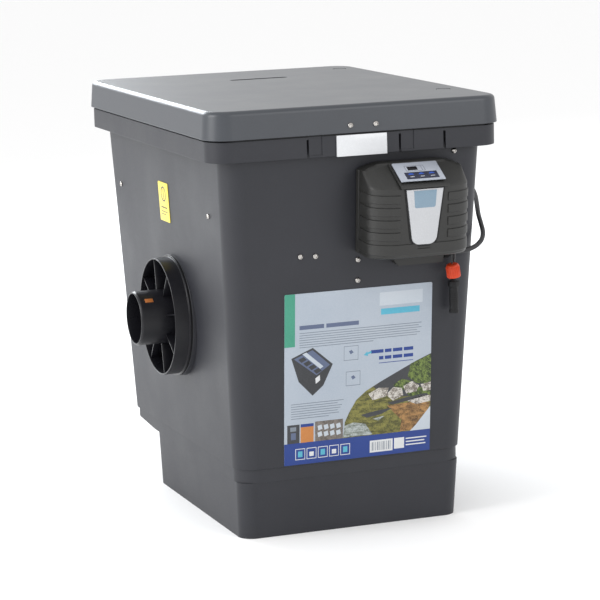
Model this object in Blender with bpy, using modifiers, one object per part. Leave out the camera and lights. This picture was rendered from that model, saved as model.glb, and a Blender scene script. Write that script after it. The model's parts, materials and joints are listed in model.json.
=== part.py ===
"""Pond drum filter: tapered container, lift-off lid, screen drum with gear drive,
foam chamber, ribbed outlet and wall-mounted controller.

Metres, +Z up. +X runs right along the label face, which looks towards -Y. The outlet
points to -X. The origin is on the floor, below the middle of the lid.
"""
import math

import bmesh
import bpy
from mathutils import Matrix, Vector

# ---- driving dimensions ------------------------------------------------------------
GAP = 0.0003            # between pieces that touch
WALL = 0.004            # container and lid wall

LID_WIDTH, LID_DEPTH, LID_HEIGHT = 0.600, 0.820, 0.0546
LID_FLARE = 0.0035      # the lid's sides lean out by this much
LID_CORNER = 0.045
LID_EDGE = 0.010        # rounding of the top edge
SEAL_SPACE = 0.003      # rim to lid

RIM_TOP = 0.7924
RIM_HEIGHT = 0.040
RIM_SETBACK = 0.005     # rim face behind the lid's lower edge
RIM_SKIRT = 0.004

SIDE_OVERHANG, END_OVERHANG = 0.0305, 0.018             # lid beyond the body under the rim
SIDE_TAPER, FRONT_TAPER, BACK_TAPER = 0.0302, 0.0527, 0.028     # each wall's lean, rim to seam
SEAM_HEIGHT = 0.1416    # where the tapered body starts
BODY_CORNER = 0.042

FOOT_SIDE_STEP, FOOT_FRONT_STEP, FOOT_BACK_STEP = 0.0093, 0.0143, 0.149     # foot inside the seam
FOOT_HEIGHT = 0.114
FOOT_CORNER = 0.030
FOOT_DRAFT = 0.005      # the foot widens this much per side up to the shelf
SHELF_RISE = 0.011      # the shelf behind the foot slopes up towards the back
BAND_INSET = 0.003      # shadow band below the seam

OUTLET_HEIGHT, OUTLET_Y = 0.402, -0.020
PIPE_DIAMETER = 0.110
PIPE_WALL = 0.0045
PIPE_REACH = 0.092      # pipe end in front of the wall
RING_DIAMETER = 0.238
RING_REACH = 0.042
RING_WALL = 0.003
FLANGE_DIAMETER = 0.247
FLANGE_FACE = 0.012
RIBS = 8

DRUM_RADIUS = 0.120
DRUM_SIDE_GAP = 0.026   # drum to the right wall and to the baffle
GEAR_SPACE = 0.1443     # front wall at the seam to the drum's front plate
SPRAY_DROP = 0.125      # spray pipe below the rim top
SPRAY_GAP = 0.048       # spray pipe to the drum
SPIGOT_SETBACK = 0.020  # spigot inside the drum's radius
RUNNING_GAP = 0.0012
AXLE_RADIUS = 0.012
GEAR_SETBACK = 0.036    # ring gear's pitch circle inside the drum's radius
GEAR_TEETH, PINION_TEETH = 42, 12
GEAR_FACE = 0.014
INLET_CHAMBER = 0.170   # back wall below the rim to the divider plate

OUTLET_CHAMBER = 0.055  # free water between the left wall and the foams
FOAM_ROWS = 2
FOAM_GAP = 0.004
FOAM_FRONT_SPACE = 0.0293

CONTROLLER_X = 0.1015
CONTROLLER_DROP = 0.1531    # controller's middle below the rim top, along the wall
CONTROLLER_HALF = 0.104
CONTROLLER_DEPTH = 0.097
CONTROLLER_SIDE_DEPTH = 0.058
SHELL = 0.003
KEY_TRAVEL = 0.001

LABEL_X, LABEL_WIDTH, LABEL_SHEET = 0.008, 0.309, 0.001
LABEL_FOOT = 0.0016     # label starts this far above the seam
LABEL_SPACE = 0.0445    # label to the controller's cable box
YELLOW_WIDTH, YELLOW_HEIGHT, YELLOW_SPACE = 0.062, 0.080, 0.0665    # the last is above the flange

CABLE_RADIUS = 0.00475
LEAD_RADIUS = 0.003
STRAP_RADIUS = 0.0014

# ---- sizes that follow from them -----------------------------------------------------
RIM_UNDERSIDE = RIM_TOP - RIM_HEIGHT
LID_UNDERSIDE = RIM_TOP + SEAL_SPACE
LID_TOP = LID_UNDERSIDE + LID_HEIGHT
BODY_TOP_WIDTH = LID_WIDTH - 2 * SIDE_OVERHANG
BODY_TOP_FRONT, BODY_TOP_BACK = END_OVERHANG - LID_DEPTH / 2, LID_DEPTH / 2 - END_OVERHANG
SEAM_WIDTH = BODY_TOP_WIDTH - 2 * SIDE_TAPER
SEAM_FRONT, SEAM_BACK = BODY_TOP_FRONT + FRONT_TAPER, BODY_TOP_BACK - BACK_TAPER
FOOT_WIDTH = SEAM_WIDTH - 2 * FOOT_SIDE_STEP
FOOT_FRONT, FOOT_BACK = SEAM_FRONT + FOOT_FRONT_STEP, SEAM_BACK - FOOT_BACK_STEP
FOOT_KNEE = FOOT_BACK - 0.05        # side point of every section, in front of the shelf
DIVIDER_Y = BODY_TOP_BACK - INLET_CHAMBER
SPIGOT_RADIUS = DRUM_RADIUS - SPIGOT_SETBACK
GEAR_MODULE = 2 * (DRUM_RADIUS - GEAR_SETBACK) / GEAR_TEETH

# ---- clean start -------------------------------------------------------------------
for old in list(bpy.data.objects):
    bpy.data.objects.remove(old, do_unlink=True)

parts = bpy.data.collections.new("pond_drum_filter")
cutters = bpy.data.collections.new("cutters")
bpy.context.scene.collection.children.link(parts)
bpy.context.scene.collection.children.link(cutters)


def material(name, colour, roughness, metallic=0.0):
    made = bpy.data.materials.new(name)
    made.use_nodes = True
    shader = made.node_tree.nodes["Principled BSDF"]
    shader.inputs["Base Color"].default_value = (*colour, 1.0)
    shader.inputs["Roughness"].default_value = roughness
    shader.inputs["Metallic"].default_value = metallic
    return made


BODY = material("body_plastic", (0.085, 0.087, 0.095), 0.42)
LIDMAT = material("lid_plastic", (0.105, 0.112, 0.122), 0.38)
HOUSING = material("housing_plastic", (0.062, 0.062, 0.058), 0.45)
PIPE = material("pipe_plastic", (0.045, 0.046, 0.050), 0.40)
RUBBER = material("black_rubber", (0.018, 0.018, 0.020), 0.75)
STEEL = material("stainless_steel", (0.62, 0.62, 0.60), 0.28, 1.0)
SILVER = material("silver_panel", (0.52, 0.54, 0.60), 0.35, 0.2)
WHITE = material("white_plastic", (0.84, 0.84, 0.85), 0.30)
BADGE = material("badge_grey", (0.40, 0.46, 0.52), 0.25)
KEYS = material("key_blue", (0.035, 0.045, 0.085), 0.40)
DISPLAY = material("display_glass", (0.012, 0.012, 0.014), 0.12)
LABEL = material("printed_label", (0.52, 0.58, 0.65), 0.35)
YELLOW = material("yellow_label", (0.82, 0.78, 0.20), 0.45)
ORANGE = material("orange_cap", (0.78, 0.085, 0.025), 0.35)
SCREEN = material("steel_screen", (0.45, 0.46, 0.47), 0.45, 0.9)
DRUM = material("drum_plastic", (0.70, 0.71, 0.72), 0.40)
FOAM = material("filter_foam", (0.030, 0.055, 0.110), 0.95)
BOARD = material("circuit_board", (0.020, 0.130, 0.050), 0.50)
CABLE = material("cable_sheath", (0.025, 0.025, 0.028), 0.55)


# ---- modelling helpers -------------------------------------------------------------
def add(name, data, finish, parent=None, helper=False):
    made = bpy.data.objects.new(name, data)
    (cutters if helper else parts).objects.link(made)
    if helper:
        made.hide_render = True
        made.display_type = "WIRE"
    if finish is not None:
        data.materials.append(finish)
    made.parent = parent
    return made


def from_bmesh(name, bm, finish, parent=None, helper=False, smooth_angle=None):
    mesh = bpy.data.meshes.new(name)
    bm.to_mesh(mesh)
    bm.free()
    if smooth_angle:
        mesh.shade_smooth()
        mesh.set_sharp_from_angle(angle=math.radians(smooth_angle))
    return add(name, mesh, finish, parent, helper)


def box(name, low, high, finish=None, parent=None, helper=False):
    bm = bmesh.new()
    bmesh.ops.create_cube(bm, size=1.0)
    low, high = Vector(low), Vector(high)
    bmesh.ops.scale(bm, verts=bm.verts, vec=high - low)
    bmesh.ops.translate(bm, verts=bm.verts, vec=(low + high) / 2)
    return from_bmesh(name, bm, finish, parent, helper)


def turned(name, profile, finish=None, place=(0, 0, 0), turn=(0, 0, 0), steps=32, parent=None,
           helper=False, closed=True):
    """Profile points are (radius, height), running down the outer side."""
    bm = bmesh.new()
    points = [bm.verts.new((radius, 0, height)) for radius, height in profile]
    for first, second in zip(points, points[1:]):
        bm.edges.new((first, second))
    if closed:
        bm.edges.new((points[-1], points[0]))
    made = from_bmesh(name, bm, finish, parent, helper)
    spin = made.modifiers.new("turn", "SCREW")
    spin.steps = spin.render_steps = steps
    spin.use_merge_vertices = True
    spin.merge_threshold = 0.00001
    spin.use_smooth_shade = True
    made.location = place
    made.rotation_euler = turn
    return made


def cylinder(name, radius, length, finish=None, place=(0, 0, 0), turn=(0, 0, 0), steps=32,
             parent=None, helper=False):
    """Solid cylinder from its place along its own +Z."""
    profile = [(0, length), (radius, length), (radius, 0), (0, 0)]
    return turned(name, profile, finish, place, turn, steps, parent, helper, closed=False)


def tube_profile(outer, inner, low, high):
    return [(inner, high), (outer, high), (outer, low), (inner, low)]


def plate(name, outlines, thickness, finish=None, place=(0, 0, 0), turn=(0, 0, 0), parent=None,
          helper=False):
    """Flat outlines in the piece's own XY plane; an outline inside another is a hole."""
    curve = bpy.data.curves.new(name, "CURVE")
    curve.dimensions = "2D"
    curve.fill_mode = "BOTH"
    curve.extrude = thickness / 2
    for outline in outlines:
        spline = curve.splines.new("POLY")
        spline.points.add(len(outline) - 1)
        for point, (x, y) in zip(spline.points, outline):
            point.co = (x, y, 0, 1)
        spline.use_cyclic_u = True
    flat = add(name + "_outline", curve, None, helper=True)
    made = solid_from_curve(name, flat, finish, parent, helper)
    made.location = place
    made.rotation_euler = turn
    return made


def solid_from_curve(name, source, finish, parent=None, helper=False):
    depsgraph = bpy.context.evaluated_depsgraph_get()
    mesh = bpy.data.meshes.new_from_object(source.evaluated_get(depsgraph))
    bm = bmesh.new()
    bm.from_mesh(mesh)
    bmesh.ops.remove_doubles(bm, verts=bm.verts, dist=0.000001)
    bmesh.ops.recalc_face_normals(bm, faces=bm.faces)
    bpy.data.objects.remove(source, do_unlink=True)
    return from_bmesh(name, bm, finish, parent, helper)


def smooth_route(points, spacing):
    """Evenly spaced points on a Catmull-Rom curve through the route's own points."""
    ends = [points[0] * 2 - points[1]] + points + [points[-1] * 2 - points[-2]]
    dense = []
    for before, start, end, after in zip(ends, ends[1:], ends[2:], ends[3:]):
        for step in range(12):
            t = step / 12
            dense.append(0.5 * (2 * start + (end - before) * t
                                + (2 * before - 5 * start + 4 * end - after) * t * t
                                + (3 * start - before - 3 * end + after) * t ** 3))
    dense.append(points[-1])
    route, walked = [dense[0]], 0.0
    for here, there in zip(dense, dense[1:]):
        walked += (there - here).length
        if walked >= spacing:
            route.append(there)
            walked = 0.0
    if (route[-1] - points[-1]).length < spacing / 2:
        route.pop()
    return route + [points[-1]]


def rod(name, route, radius, finish, parent=None, resolution=2):
    curve = bpy.data.curves.new(name, "CURVE")
    curve.dimensions = "3D"
    curve.bevel_depth = radius
    curve.bevel_resolution = resolution
    curve.use_fill_caps = True
    spline = curve.splines.new("POLY")
    spline.points.add(len(route) - 1)
    for point, place in zip(spline.points, route):
        point.co = (*place, 1)
    return add(name, curve, finish, parent)


def boolean(piece, other, operation="DIFFERENCE"):
    step = piece.modifiers.new(other.name, "BOOLEAN")
    step.operation = operation
    # EXACT leaves open slivers on the container's long walls, and fills the thin cover
    step.solver = "MANIFOLD" if piece.name in ("container", "controller_cover") else "EXACT"
    step.object = other
    return piece


def arc(centre, radius, start, end, steps):
    return [(centre[0] + radius * math.cos(math.radians(start + (end - start) * i / steps)),
             centre[1] + radius * math.sin(math.radians(start + (end - start) * i / steps)))
            for i in range(steps + 1)]


def rounded_outline(low, high, radius, steps=4):
    (x0, y0), (x1, y1) = low, high
    return (arc((x0 + radius, y0 + radius), radius, 180, 270, steps)
            + arc((x1 - radius, y0 + radius), radius, 270, 360, steps)
            + arc((x1 - radius, y1 - radius), radius, 0, 90, steps)
            + arc((x0 + radius, y1 - radius), radius, 90, 180, steps))


def knee_section(half, front, back, radius, height, knee, slope=0.0):
    """Rounded rectangle with a knee point on each side; behind the knee it may slope up."""
    outline = rounded_outline((-half, front), (half, back), radius)
    outline.insert(10, (half, knee))
    outline.append((-half, knee))
    return [Vector((x, y, height + max(0.0, y - knee) * slope)) for x, y in outline]


def loft(name, sections, finish=None, closed_ring=False, parent=None, helper=False):
    """Skin over sections that all have the same number of points."""
    bm = bmesh.new()
    rings = [[bm.verts.new(point) for point in section] for section in sections]
    pairs = list(zip(rings, rings[1:]))
    if closed_ring:
        pairs.append((rings[-1], rings[0]))
    for lower, upper in pairs:
        for i, corner in enumerate(lower):
            j = (i + 1) % len(lower)
            bm.faces.new((corner, lower[j], upper[j], upper[i]))
    if not closed_ring:
        bm.faces.new(list(reversed(rings[0])))
        bm.faces.new(rings[-1])
    bmesh.ops.triangulate(bm, faces=bm.faces)
    bmesh.ops.recalc_face_normals(bm, faces=bm.faces)
    return from_bmesh(name, bm, finish, parent, helper, smooth_angle=35)


# ---- the tapered walls, outside face at a height -------------------------------------
def along(height, low, high):
    return low + (high - low) * (height - SEAM_HEIGHT) / (RIM_UNDERSIDE - SEAM_HEIGHT)


def half_width(height):
    return along(height, SEAM_WIDTH / 2, BODY_TOP_WIDTH / 2)


def front_wall(height):
    return along(height, SEAM_FRONT, BODY_TOP_FRONT)


def back_wall(height):
    return along(height, SEAM_BACK, BODY_TOP_BACK)


FRONT_TILT = math.atan2(SEAM_FRONT - BODY_TOP_FRONT, RIM_UNDERSIDE - SEAM_HEIGHT)
SIDE_TILT = math.atan2((BODY_TOP_WIDTH - SEAM_WIDTH) / 2, RIM_UNDERSIDE - SEAM_HEIGHT)

# faces on the walls: local +Z runs up the wall, the outside is -Y (front), -X (left)
front_face = bpy.data.objects.new("front_face", None)
front_face.location = (0, SEAM_FRONT, SEAM_HEIGHT)
front_face.rotation_euler = (FRONT_TILT, 0, 0)
left_face = bpy.data.objects.new("left_face", None)
left_face.location = (-SEAM_WIDTH / 2, 0, SEAM_HEIGHT)
left_face.rotation_euler = (0, -SIDE_TILT, 0)
right_face = bpy.data.objects.new("right_face", None)
right_face.location = (SEAM_WIDTH / 2, 0, SEAM_HEIGHT)
right_face.rotation_euler = (0, SIDE_TILT, 0)
for face in (front_face, left_face, right_face):
    parts.objects.link(face)

TO_FRONT = (math.radians(90), 0, 0)      # a turned piece whose +Z looks to -Y
TO_BACK = (math.radians(-90), 0, 0)
TO_LEFT = (0, math.radians(-90), 0)
TO_RIGHT = (0, math.radians(90), 0)


def up_front(height):
    return (height - SEAM_HEIGHT) / math.cos(FRONT_TILT)


def up_side(height):
    return (height - SEAM_HEIGHT) / math.cos(SIDE_TILT)


# ---- container -----------------------------------------------------------------------
RIM_HALF = LID_WIDTH / 2 + LID_FLARE - RIM_SETBACK
RIM_Y = LID_DEPTH / 2 + LID_FLARE - RIM_SETBACK
SHELF_SLOPE = SHELF_RISE / (SEAM_BACK - FOOT_BACK)
CHANNEL_TOP = RIM_TOP - WALL
LEDGE = 0.0006          # height over which a wall steps sideways
FLOOR = WALL + 0.001


def wall_section(height, inset=0.0):
    return knee_section(half_width(height) - inset, front_wall(height) + inset,
                        back_wall(height) - inset, BODY_CORNER - inset, height, FOOT_KNEE)


def rim_section(height, inset=0.0):
    return knee_section(RIM_HALF - inset, -RIM_Y + inset, RIM_Y - inset,
                        LID_CORNER - inset, height, FOOT_KNEE)


def foot_section(height, widen, inset=0.0):
    return knee_section(FOOT_WIDTH / 2 + widen - inset, FOOT_FRONT - 2 * widen + inset,
                        FOOT_BACK - inset, FOOT_CORNER - inset / 2, height, FOOT_KNEE)


def shelf_section(height, inset=0.0):
    """Under and upper side of the shelf that reaches back behind the foot."""
    edge = BAND_INSET + inset
    return knee_section(SEAM_WIDTH / 2 - edge, SEAM_FRONT + edge, SEAM_BACK - 2 * edge,
                        BODY_CORNER - inset, height, FOOT_BACK - inset + 0.001, SHELF_SLOPE)


def cavity_sections(inset, floor, top):
    """Inner surface from the floor up; inset is measured from the outside."""
    return [foot_section(floor, 0.0, inset),
            foot_section(FOOT_HEIGHT + inset, FOOT_DRAFT, inset + 0.0004),
            shelf_section(FOOT_HEIGHT + inset + LEDGE, inset),
            wall_section(SEAM_HEIGHT + WALL, inset),
            wall_section(top, inset)]


def make_container():
    """Solid outer shape; it is hollowed last, once every seat on its walls is joined."""
    return loft("container", [foot_section(0.0, 0.0),
                              foot_section(FOOT_HEIGHT, FOOT_DRAFT),
                              shelf_section(FOOT_HEIGHT + LEDGE),
                              knee_section(SEAM_WIDTH / 2 - BAND_INSET, SEAM_FRONT + BAND_INSET,
                                           SEAM_BACK - BAND_INSET, BODY_CORNER,
                                           SEAM_HEIGHT - LEDGE, FOOT_KNEE),
                              wall_section(SEAM_HEIGHT),
                              wall_section(CHANNEL_TOP),
                              rim_section(CHANNEL_TOP, RIM_SKIRT),
                              rim_section(RIM_UNDERSIDE, RIM_SKIRT),
                              rim_section(RIM_UNDERSIDE),
                              rim_section(RIM_TOP)], BODY)


container = make_container()
# what fits inside the container is trimmed to this shape
cavity = loft("cavity", cavity_sections(WALL + GAP, FLOOR + GAP, RIM_TOP), helper=True)


SEAT_ROOT = 0.030       # a seat starts this far inside the wall and is trimmed flush
SEAT_STEPS = 24
OUTLET_STEPS = 40


def boss(name, radius, reach, place, turn, steps=SEAT_STEPS):
    """Raised round seat on a leaning wall, square to the pipe that it carries."""
    seat = turned(name, [(0, reach), (radius, reach), (radius, -SEAT_ROOT), (0, -SEAT_ROOT)], None,
                  place, turn, steps, helper=True, closed=False)
    return boolean(container, seat, "UNION")


def bore(name, radius, place, turn, steps=SEAT_STEPS):
    return boolean(container, cylinder(name, radius, 2 * SEAT_ROOT, None, place, turn, steps, helper=True))


# rim pockets and slots beside the name plate
PLATE_X = 0.004
POCKET_WIDTH, POCKET_OFFSET, POCKET_DEPTH = 0.029, 0.0945, 0.0016
SLOT_WIDTH = 0.005
END_SLOT_X = 0.177
SLOTS = (PLATE_X - POCKET_OFFSET - POCKET_WIDTH / 2, PLATE_X + POCKET_OFFSET - POCKET_WIDTH / 2, END_SLOT_X)
for side in (-1, 1):
    middle = PLATE_X + side * POCKET_OFFSET
    boolean(container, box(f"rim_pocket_{side}",
                           (middle - POCKET_WIDTH / 2, -RIM_Y - 0.01, RIM_UNDERSIDE + 0.004),
                           (middle + POCKET_WIDTH / 2, -RIM_Y + POCKET_DEPTH, RIM_TOP + 0.01),
                           helper=True))
for number, slot_x in enumerate(SLOTS):
    boolean(container, box(f"rim_slot_{number}",
                           (slot_x - SLOT_WIDTH / 2, -RIM_Y - 0.01, RIM_UNDERSIDE - 0.01),
                           (slot_x + SLOT_WIDTH / 2, -RIM_Y + RIM_SKIRT + 0.004, CHANNEL_TOP - 0.001),
                           helper=True))

# ---- lid -----------------------------------------------------------------------------
MOUTH_HALF = half_width(RIM_TOP) - WALL
MOUTH_FRONT, MOUTH_BACK = front_wall(RIM_TOP) + WALL, back_wall(RIM_TOP) - WALL
LOCATING_PLAY = 0.002
LOCATING_DROP = 0.012
GRIP_HALF, GRIP_RADIUS, GRIP_DEPTH = 0.064, 0.0088, 0.002
GRIP_X, GRIP_FROM_BACK = 0.020, 0.203
MARK_RADIUS, MARK_DEPTH, MARK_FROM_SIDE = 0.015, 0.0015, 0.050
MARK_FROM_BACK, MARK_FROM_FRONT = 0.088, 0.170


def lid_section(height, inset):
    return knee_section(LID_WIDTH / 2 - inset, -LID_DEPTH / 2 + inset, LID_DEPTH / 2 - inset,
                        LID_CORNER - inset * 0.8, height, 0.0)


def mouth_section(height, inset):
    return knee_section(MOUTH_HALF - inset, MOUTH_FRONT + inset, MOUTH_BACK - inset,
                        BODY_CORNER - WALL, height, 0.0)


def make_lid():
    rounding = [lid_section(LID_TOP - LID_EDGE * (1 - math.cos(math.radians(a))),
                            LID_EDGE * (1 - math.sin(math.radians(a)))) for a in (0, 30, 60, 90)]
    under = [lid_section(LID_UNDERSIDE, -LID_FLARE),
             mouth_section(LID_UNDERSIDE, LOCATING_PLAY),
             mouth_section(LID_UNDERSIDE - LOCATING_DROP, LOCATING_PLAY),
             mouth_section(LID_UNDERSIDE - LOCATING_DROP, LOCATING_PLAY + SHELL),
             mouth_section(LID_UNDERSIDE + WALL, LOCATING_PLAY + SHELL),
             lid_section(LID_UNDERSIDE + WALL, WALL - LID_FLARE),
             lid_section(LID_TOP - LID_EDGE, WALL),
             lid_section(LID_TOP - WALL, LID_EDGE + WALL / 2)]
    made = loft("lid", rounding + under, LIDMAT)
    grip = plate("grip_recess", [rounded_outline((-GRIP_HALF, -GRIP_RADIUS - 0.0002),
                                                 (GRIP_HALF, GRIP_RADIUS + 0.0002), GRIP_RADIUS)],
                 2 * GRIP_DEPTH, place=(GRIP_X, LID_DEPTH / 2 - GRIP_FROM_BACK, LID_TOP), helper=True)
    boolean(made, grip)
    for number, y in enumerate((LID_DEPTH / 2 - MARK_FROM_BACK, MARK_FROM_FRONT - LID_DEPTH / 2)):
        boolean(made, cylinder(f"lid_mark_{number}", MARK_RADIUS, 0.004,
                               place=(LID_WIDTH / 2 - MARK_FROM_SIDE, y, LID_TOP - MARK_DEPTH), helper=True))
    return made


lid = make_lid()

SEAL_INNER, SEAL_OUTER = 0.003, 0.017       # outside the mouth
seal_low = RIM_TOP + GAP
seal_high = LID_UNDERSIDE - GAP
loft("lid_seal", [mouth_section(seal_low, -SEAL_INNER), mouth_section(seal_high, -SEAL_INNER),
                  mouth_section(seal_high, -SEAL_OUTER), mouth_section(seal_low, -SEAL_OUTER)],
     RUBBER, closed_ring=True)


# ---- screws, plates and labels -------------------------------------------------------
def screw_profile(head, thickness, shank, length):
    """Domed head above z=0, shank below; small hexagon socket left to the finish."""
    dome = [(head * math.sin(math.radians(a)), thickness * math.cos(math.radians(a)))
            for a in (0, 45, 90)]
    return dome + [(shank, 0), (shank, -length), (0, -length)]


HEAD, HEAD_THICKNESS, SHANK, SHANK_LENGTH = 0.0055, 0.0036, 0.0025, 0.003
HOLE_PLAY, HOLE_STEPS = 0.0005, 8


def screw(name, place, turn, parent):
    profile = screw_profile(HEAD, HEAD_THICKNESS, SHANK, SHANK_LENGTH)
    return turned(name, profile, STEEL, place, turn, 12, parent, closed=False)


def front_screw(name, x, height):
    place = (x, -GAP, up_front(height))
    screw(name, place, TO_FRONT, front_face)
    hole = cylinder(name + "_hole", SHANK + HOLE_PLAY, 0.02, None, (x, 0.01, up_front(height)), TO_FRONT,
                    HOLE_STEPS, front_face, helper=True)
    boolean(container, hole)


# (name, x, height below the rim) on the front wall
FRONT_SCREWS = (("baffle_screw_1", -0.114, 0.1931), ("baffle_screw_2", -0.083, 0.1945),
                ("bracket_screw_1", 0.005, 0.2080), ("bracket_screw_2", 0.005, 0.2490),
                ("rim_screw", 0.204, 0.0074))
for name, x, drop in FRONT_SCREWS:
    front_screw(name, x, RIM_UNDERSIDE - drop)

# (y, height below the rim) on the left wall
SIDE_SCREWS = ((BODY_TOP_BACK - 0.092, 0.1174), (BODY_TOP_FRONT + 0.115, 0.1154))
for number, (y, drop) in enumerate(SIDE_SCREWS, 1):
    height = RIM_UNDERSIDE - drop
    screw(f"side_screw_{number}", (-GAP, y, up_side(height)), TO_LEFT, left_face)
    boolean(container, cylinder(f"side_hole_{number}", SHANK + HOLE_PLAY, 0.02, None,
                                (0.01, y, up_side(height)), TO_LEFT, HOLE_STEPS, left_face,
                                helper=True))

LID_SCREW_HEIGHT = LID_UNDERSIDE + 0.0146
lid_face = -(LID_DEPTH / 2 + LID_FLARE * (LID_TOP - LID_EDGE - LID_SCREW_HEIGHT)
             / (LID_TOP - LID_EDGE - LID_UNDERSIDE))
lid_turn = (math.radians(90) - math.atan2(LID_FLARE, LID_TOP - LID_EDGE - LID_UNDERSIDE), 0, 0)
for number, x in enumerate((-0.019, 0.033), 1):
    screw(f"lid_screw_{number}", (x, lid_face - GAP, LID_SCREW_HEIGHT), lid_turn, None)
    hole = turned(f"lid_hole_{number}", [(0, 0.01), (SHANK + HOLE_PLAY, 0.01), (SHANK + HOLE_PLAY, -0.01),
                                         (0, -0.01)],
                  None, (x, lid_face, LID_SCREW_HEIGHT), lid_turn, HOLE_STEPS, helper=True, closed=False)
    boolean(lid, hole)

PLATE_HALF, PLATE_SHEET = 0.0515, 0.004
box("name_plate", (PLATE_X - PLATE_HALF, -RIM_Y - GAP - PLATE_SHEET, RIM_UNDERSIDE - 0.001),
    (PLATE_X + PLATE_HALF, -RIM_Y - GAP, RIM_TOP - 0.0005), WHITE)

CABLE_BOX_LOW = -0.109      # lowest edge of the controller's cable box, from its middle
controller_up = up_front(RIM_TOP) - CONTROLLER_DROP
box("picture_label", (LABEL_X - LABEL_WIDTH / 2, -GAP - LABEL_SHEET, LABEL_FOOT),
    (LABEL_X + LABEL_WIDTH / 2, -GAP, controller_up + CABLE_BOX_LOW - LABEL_SPACE), LABEL, front_face)
yellow_low = OUTLET_HEIGHT + FLANGE_DIAMETER / 2 + YELLOW_SPACE
YELLOW_Y = 0.002
box("yellow_label", (-GAP - LABEL_SHEET, YELLOW_Y - YELLOW_WIDTH / 2, up_side(yellow_low)),
    (-GAP, YELLOW_Y + YELLOW_WIDTH / 2, up_side(yellow_low + YELLOW_HEIGHT)), YELLOW, left_face)

# ---- outlet on the left wall ---------------------------------------------------------
wall_x = half_width(OUTLET_HEIGHT)
outlet_place = Vector((-wall_x, OUTLET_Y, OUTLET_HEIGHT))
SEAT_FACE, SEAL_FACE = 0.0065, 0.0092
PIPE_INSIDE = 0.030


def out_left(distance):
    return outlet_place + Vector((-distance, 0, 0))


boss("outlet_seat", FLANGE_DIAMETER / 2, SEAT_FACE, out_left(0), TO_LEFT, OUTLET_STEPS)
bore("outlet_bore", PIPE_DIAMETER / 2 + 0.001, out_left(-SEAT_ROOT), TO_LEFT, OUTLET_STEPS)
turned("outlet_seal", tube_profile(FLANGE_DIAMETER / 2 - 0.001, PIPE_DIAMETER / 2 + GAP,
                                   SEAT_FACE + GAP, SEAL_FACE), RUBBER, outlet_place, TO_LEFT, OUTLET_STEPS)


def make_outlet():
    pipe_r, ring_r, flange_r = PIPE_DIAMETER / 2, RING_DIAMETER / 2, FLANGE_DIAMETER / 2
    back = SEAL_FACE + GAP
    chamfer = 0.003
    profile = [(pipe_r - PIPE_WALL, PIPE_REACH), (pipe_r - 0.001, PIPE_REACH),
               (pipe_r, PIPE_REACH - chamfer), (pipe_r, FLANGE_FACE),
               (ring_r - RING_WALL, FLANGE_FACE), (ring_r - RING_WALL, RING_REACH),
               (ring_r, RING_REACH), (ring_r, FLANGE_FACE), (flange_r, FLANGE_FACE),
               (flange_r, back), (pipe_r, back), (pipe_r, -PIPE_INSIDE),
               (pipe_r - PIPE_WALL, -PIPE_INSIDE)]
    made = turned("outlet_adapter", profile, PIPE, outlet_place, TO_LEFT, OUTLET_STEPS)
    rib_top = RING_REACH - 0.003
    for number in range(RIBS // 2):
        angle = math.radians(11 + 180 * number / (RIBS // 2))
        rib = box(f"outlet_rib_{number}", (-(ring_r - RING_WALL / 2), -0.0015, back + 0.001),
                  (ring_r - RING_WALL / 2, 0.0015, rib_top), helper=True)
        rib.location = outlet_place
        rib.rotation_mode = "QUATERNION"
        rib.rotation_quaternion = (Matrix.Rotation(math.radians(-90), 3, "Y")
                                   @ Matrix.Rotation(angle, 3, "Z")).to_quaternion()
        boolean(made, rib, "UNION")
    clear = cylinder("outlet_waterway", pipe_r - PIPE_WALL, 0.2, None, out_left(-0.05), TO_LEFT,
                     OUTLET_STEPS, helper=True)
    return boolean(made, clear)


make_outlet()

# ---- drum chamber --------------------------------------------------------------------
spray_z = RIM_TOP - SPRAY_DROP
drum_z = spray_z - SPRAY_GAP - DRUM_RADIUS
drum_x = half_width(drum_z) - WALL - DRUM_SIDE_GAP - DRUM_RADIUS
drum_back = DIVIDER_Y - 0.012
drum_front = SEAM_FRONT + GEAR_SPACE
PLATE_THICK = 0.010
DRUM_STEPS = 40
RING_DEPTH = 0.014
baffle_x = drum_x - DRUM_RADIUS - DRUM_SIDE_GAP


def on_drum(y, dx=0.0, dz=0.0):
    return Vector((drum_x + dx, y, drum_z + dz))


# divider plate with the fixed spigot that the drum's open end turns on
DIVIDER_SHEET, DIVIDER_DROP = 0.005, 0.080
divider = box("divider_wall", (-1, DIVIDER_Y, 0), (1, DIVIDER_Y + DIVIDER_SHEET, RIM_TOP - DIVIDER_DROP), BODY)
boolean(divider, cavity, "INTERSECT")
boolean(divider, cylinder("spigot", SPIGOT_RADIUS, 0.030, None, on_drum(DIVIDER_Y - 0.028), TO_BACK,
                          DRUM_STEPS, helper=True), "UNION")
boolean(divider, cylinder("spigot_bore", SPIGOT_RADIUS - 0.005, 0.060, None,
                          on_drum(DIVIDER_Y - 0.040), TO_BACK, DRUM_STEPS, helper=True))

# drum: closed front plate, cage with windows, screen sleeve, open rear ring
hub_clear = AXLE_RADIUS + 0.0004
turned("drum_front_plate", tube_profile(DRUM_RADIUS, hub_clear, 0, PLATE_THICK), DRUM,
       on_drum(drum_front), TO_BACK, DRUM_STEPS)
turned("drum_rear_ring", tube_profile(DRUM_RADIUS, SPIGOT_RADIUS + RUNNING_GAP, 0, RING_DEPTH), DRUM,
       on_drum(drum_back - RING_DEPTH), TO_BACK, DRUM_STEPS)
cage_front = drum_front + PLATE_THICK + GAP
cage_back = drum_back - RING_DEPTH - GAP
cage_length = cage_back - cage_front
CAGE_OUTER, CAGE_INNER = DRUM_RADIUS - 0.0025, DRUM_RADIUS - 0.0065
cage = turned("drum_cage", tube_profile(CAGE_OUTER, CAGE_INNER, 0, cage_length), DRUM,
              on_drum(cage_front), TO_BACK, DRUM_STEPS)
WINDOWS_AROUND, WINDOWS_ALONG, BAR = 4, 2, 0.014
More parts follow.
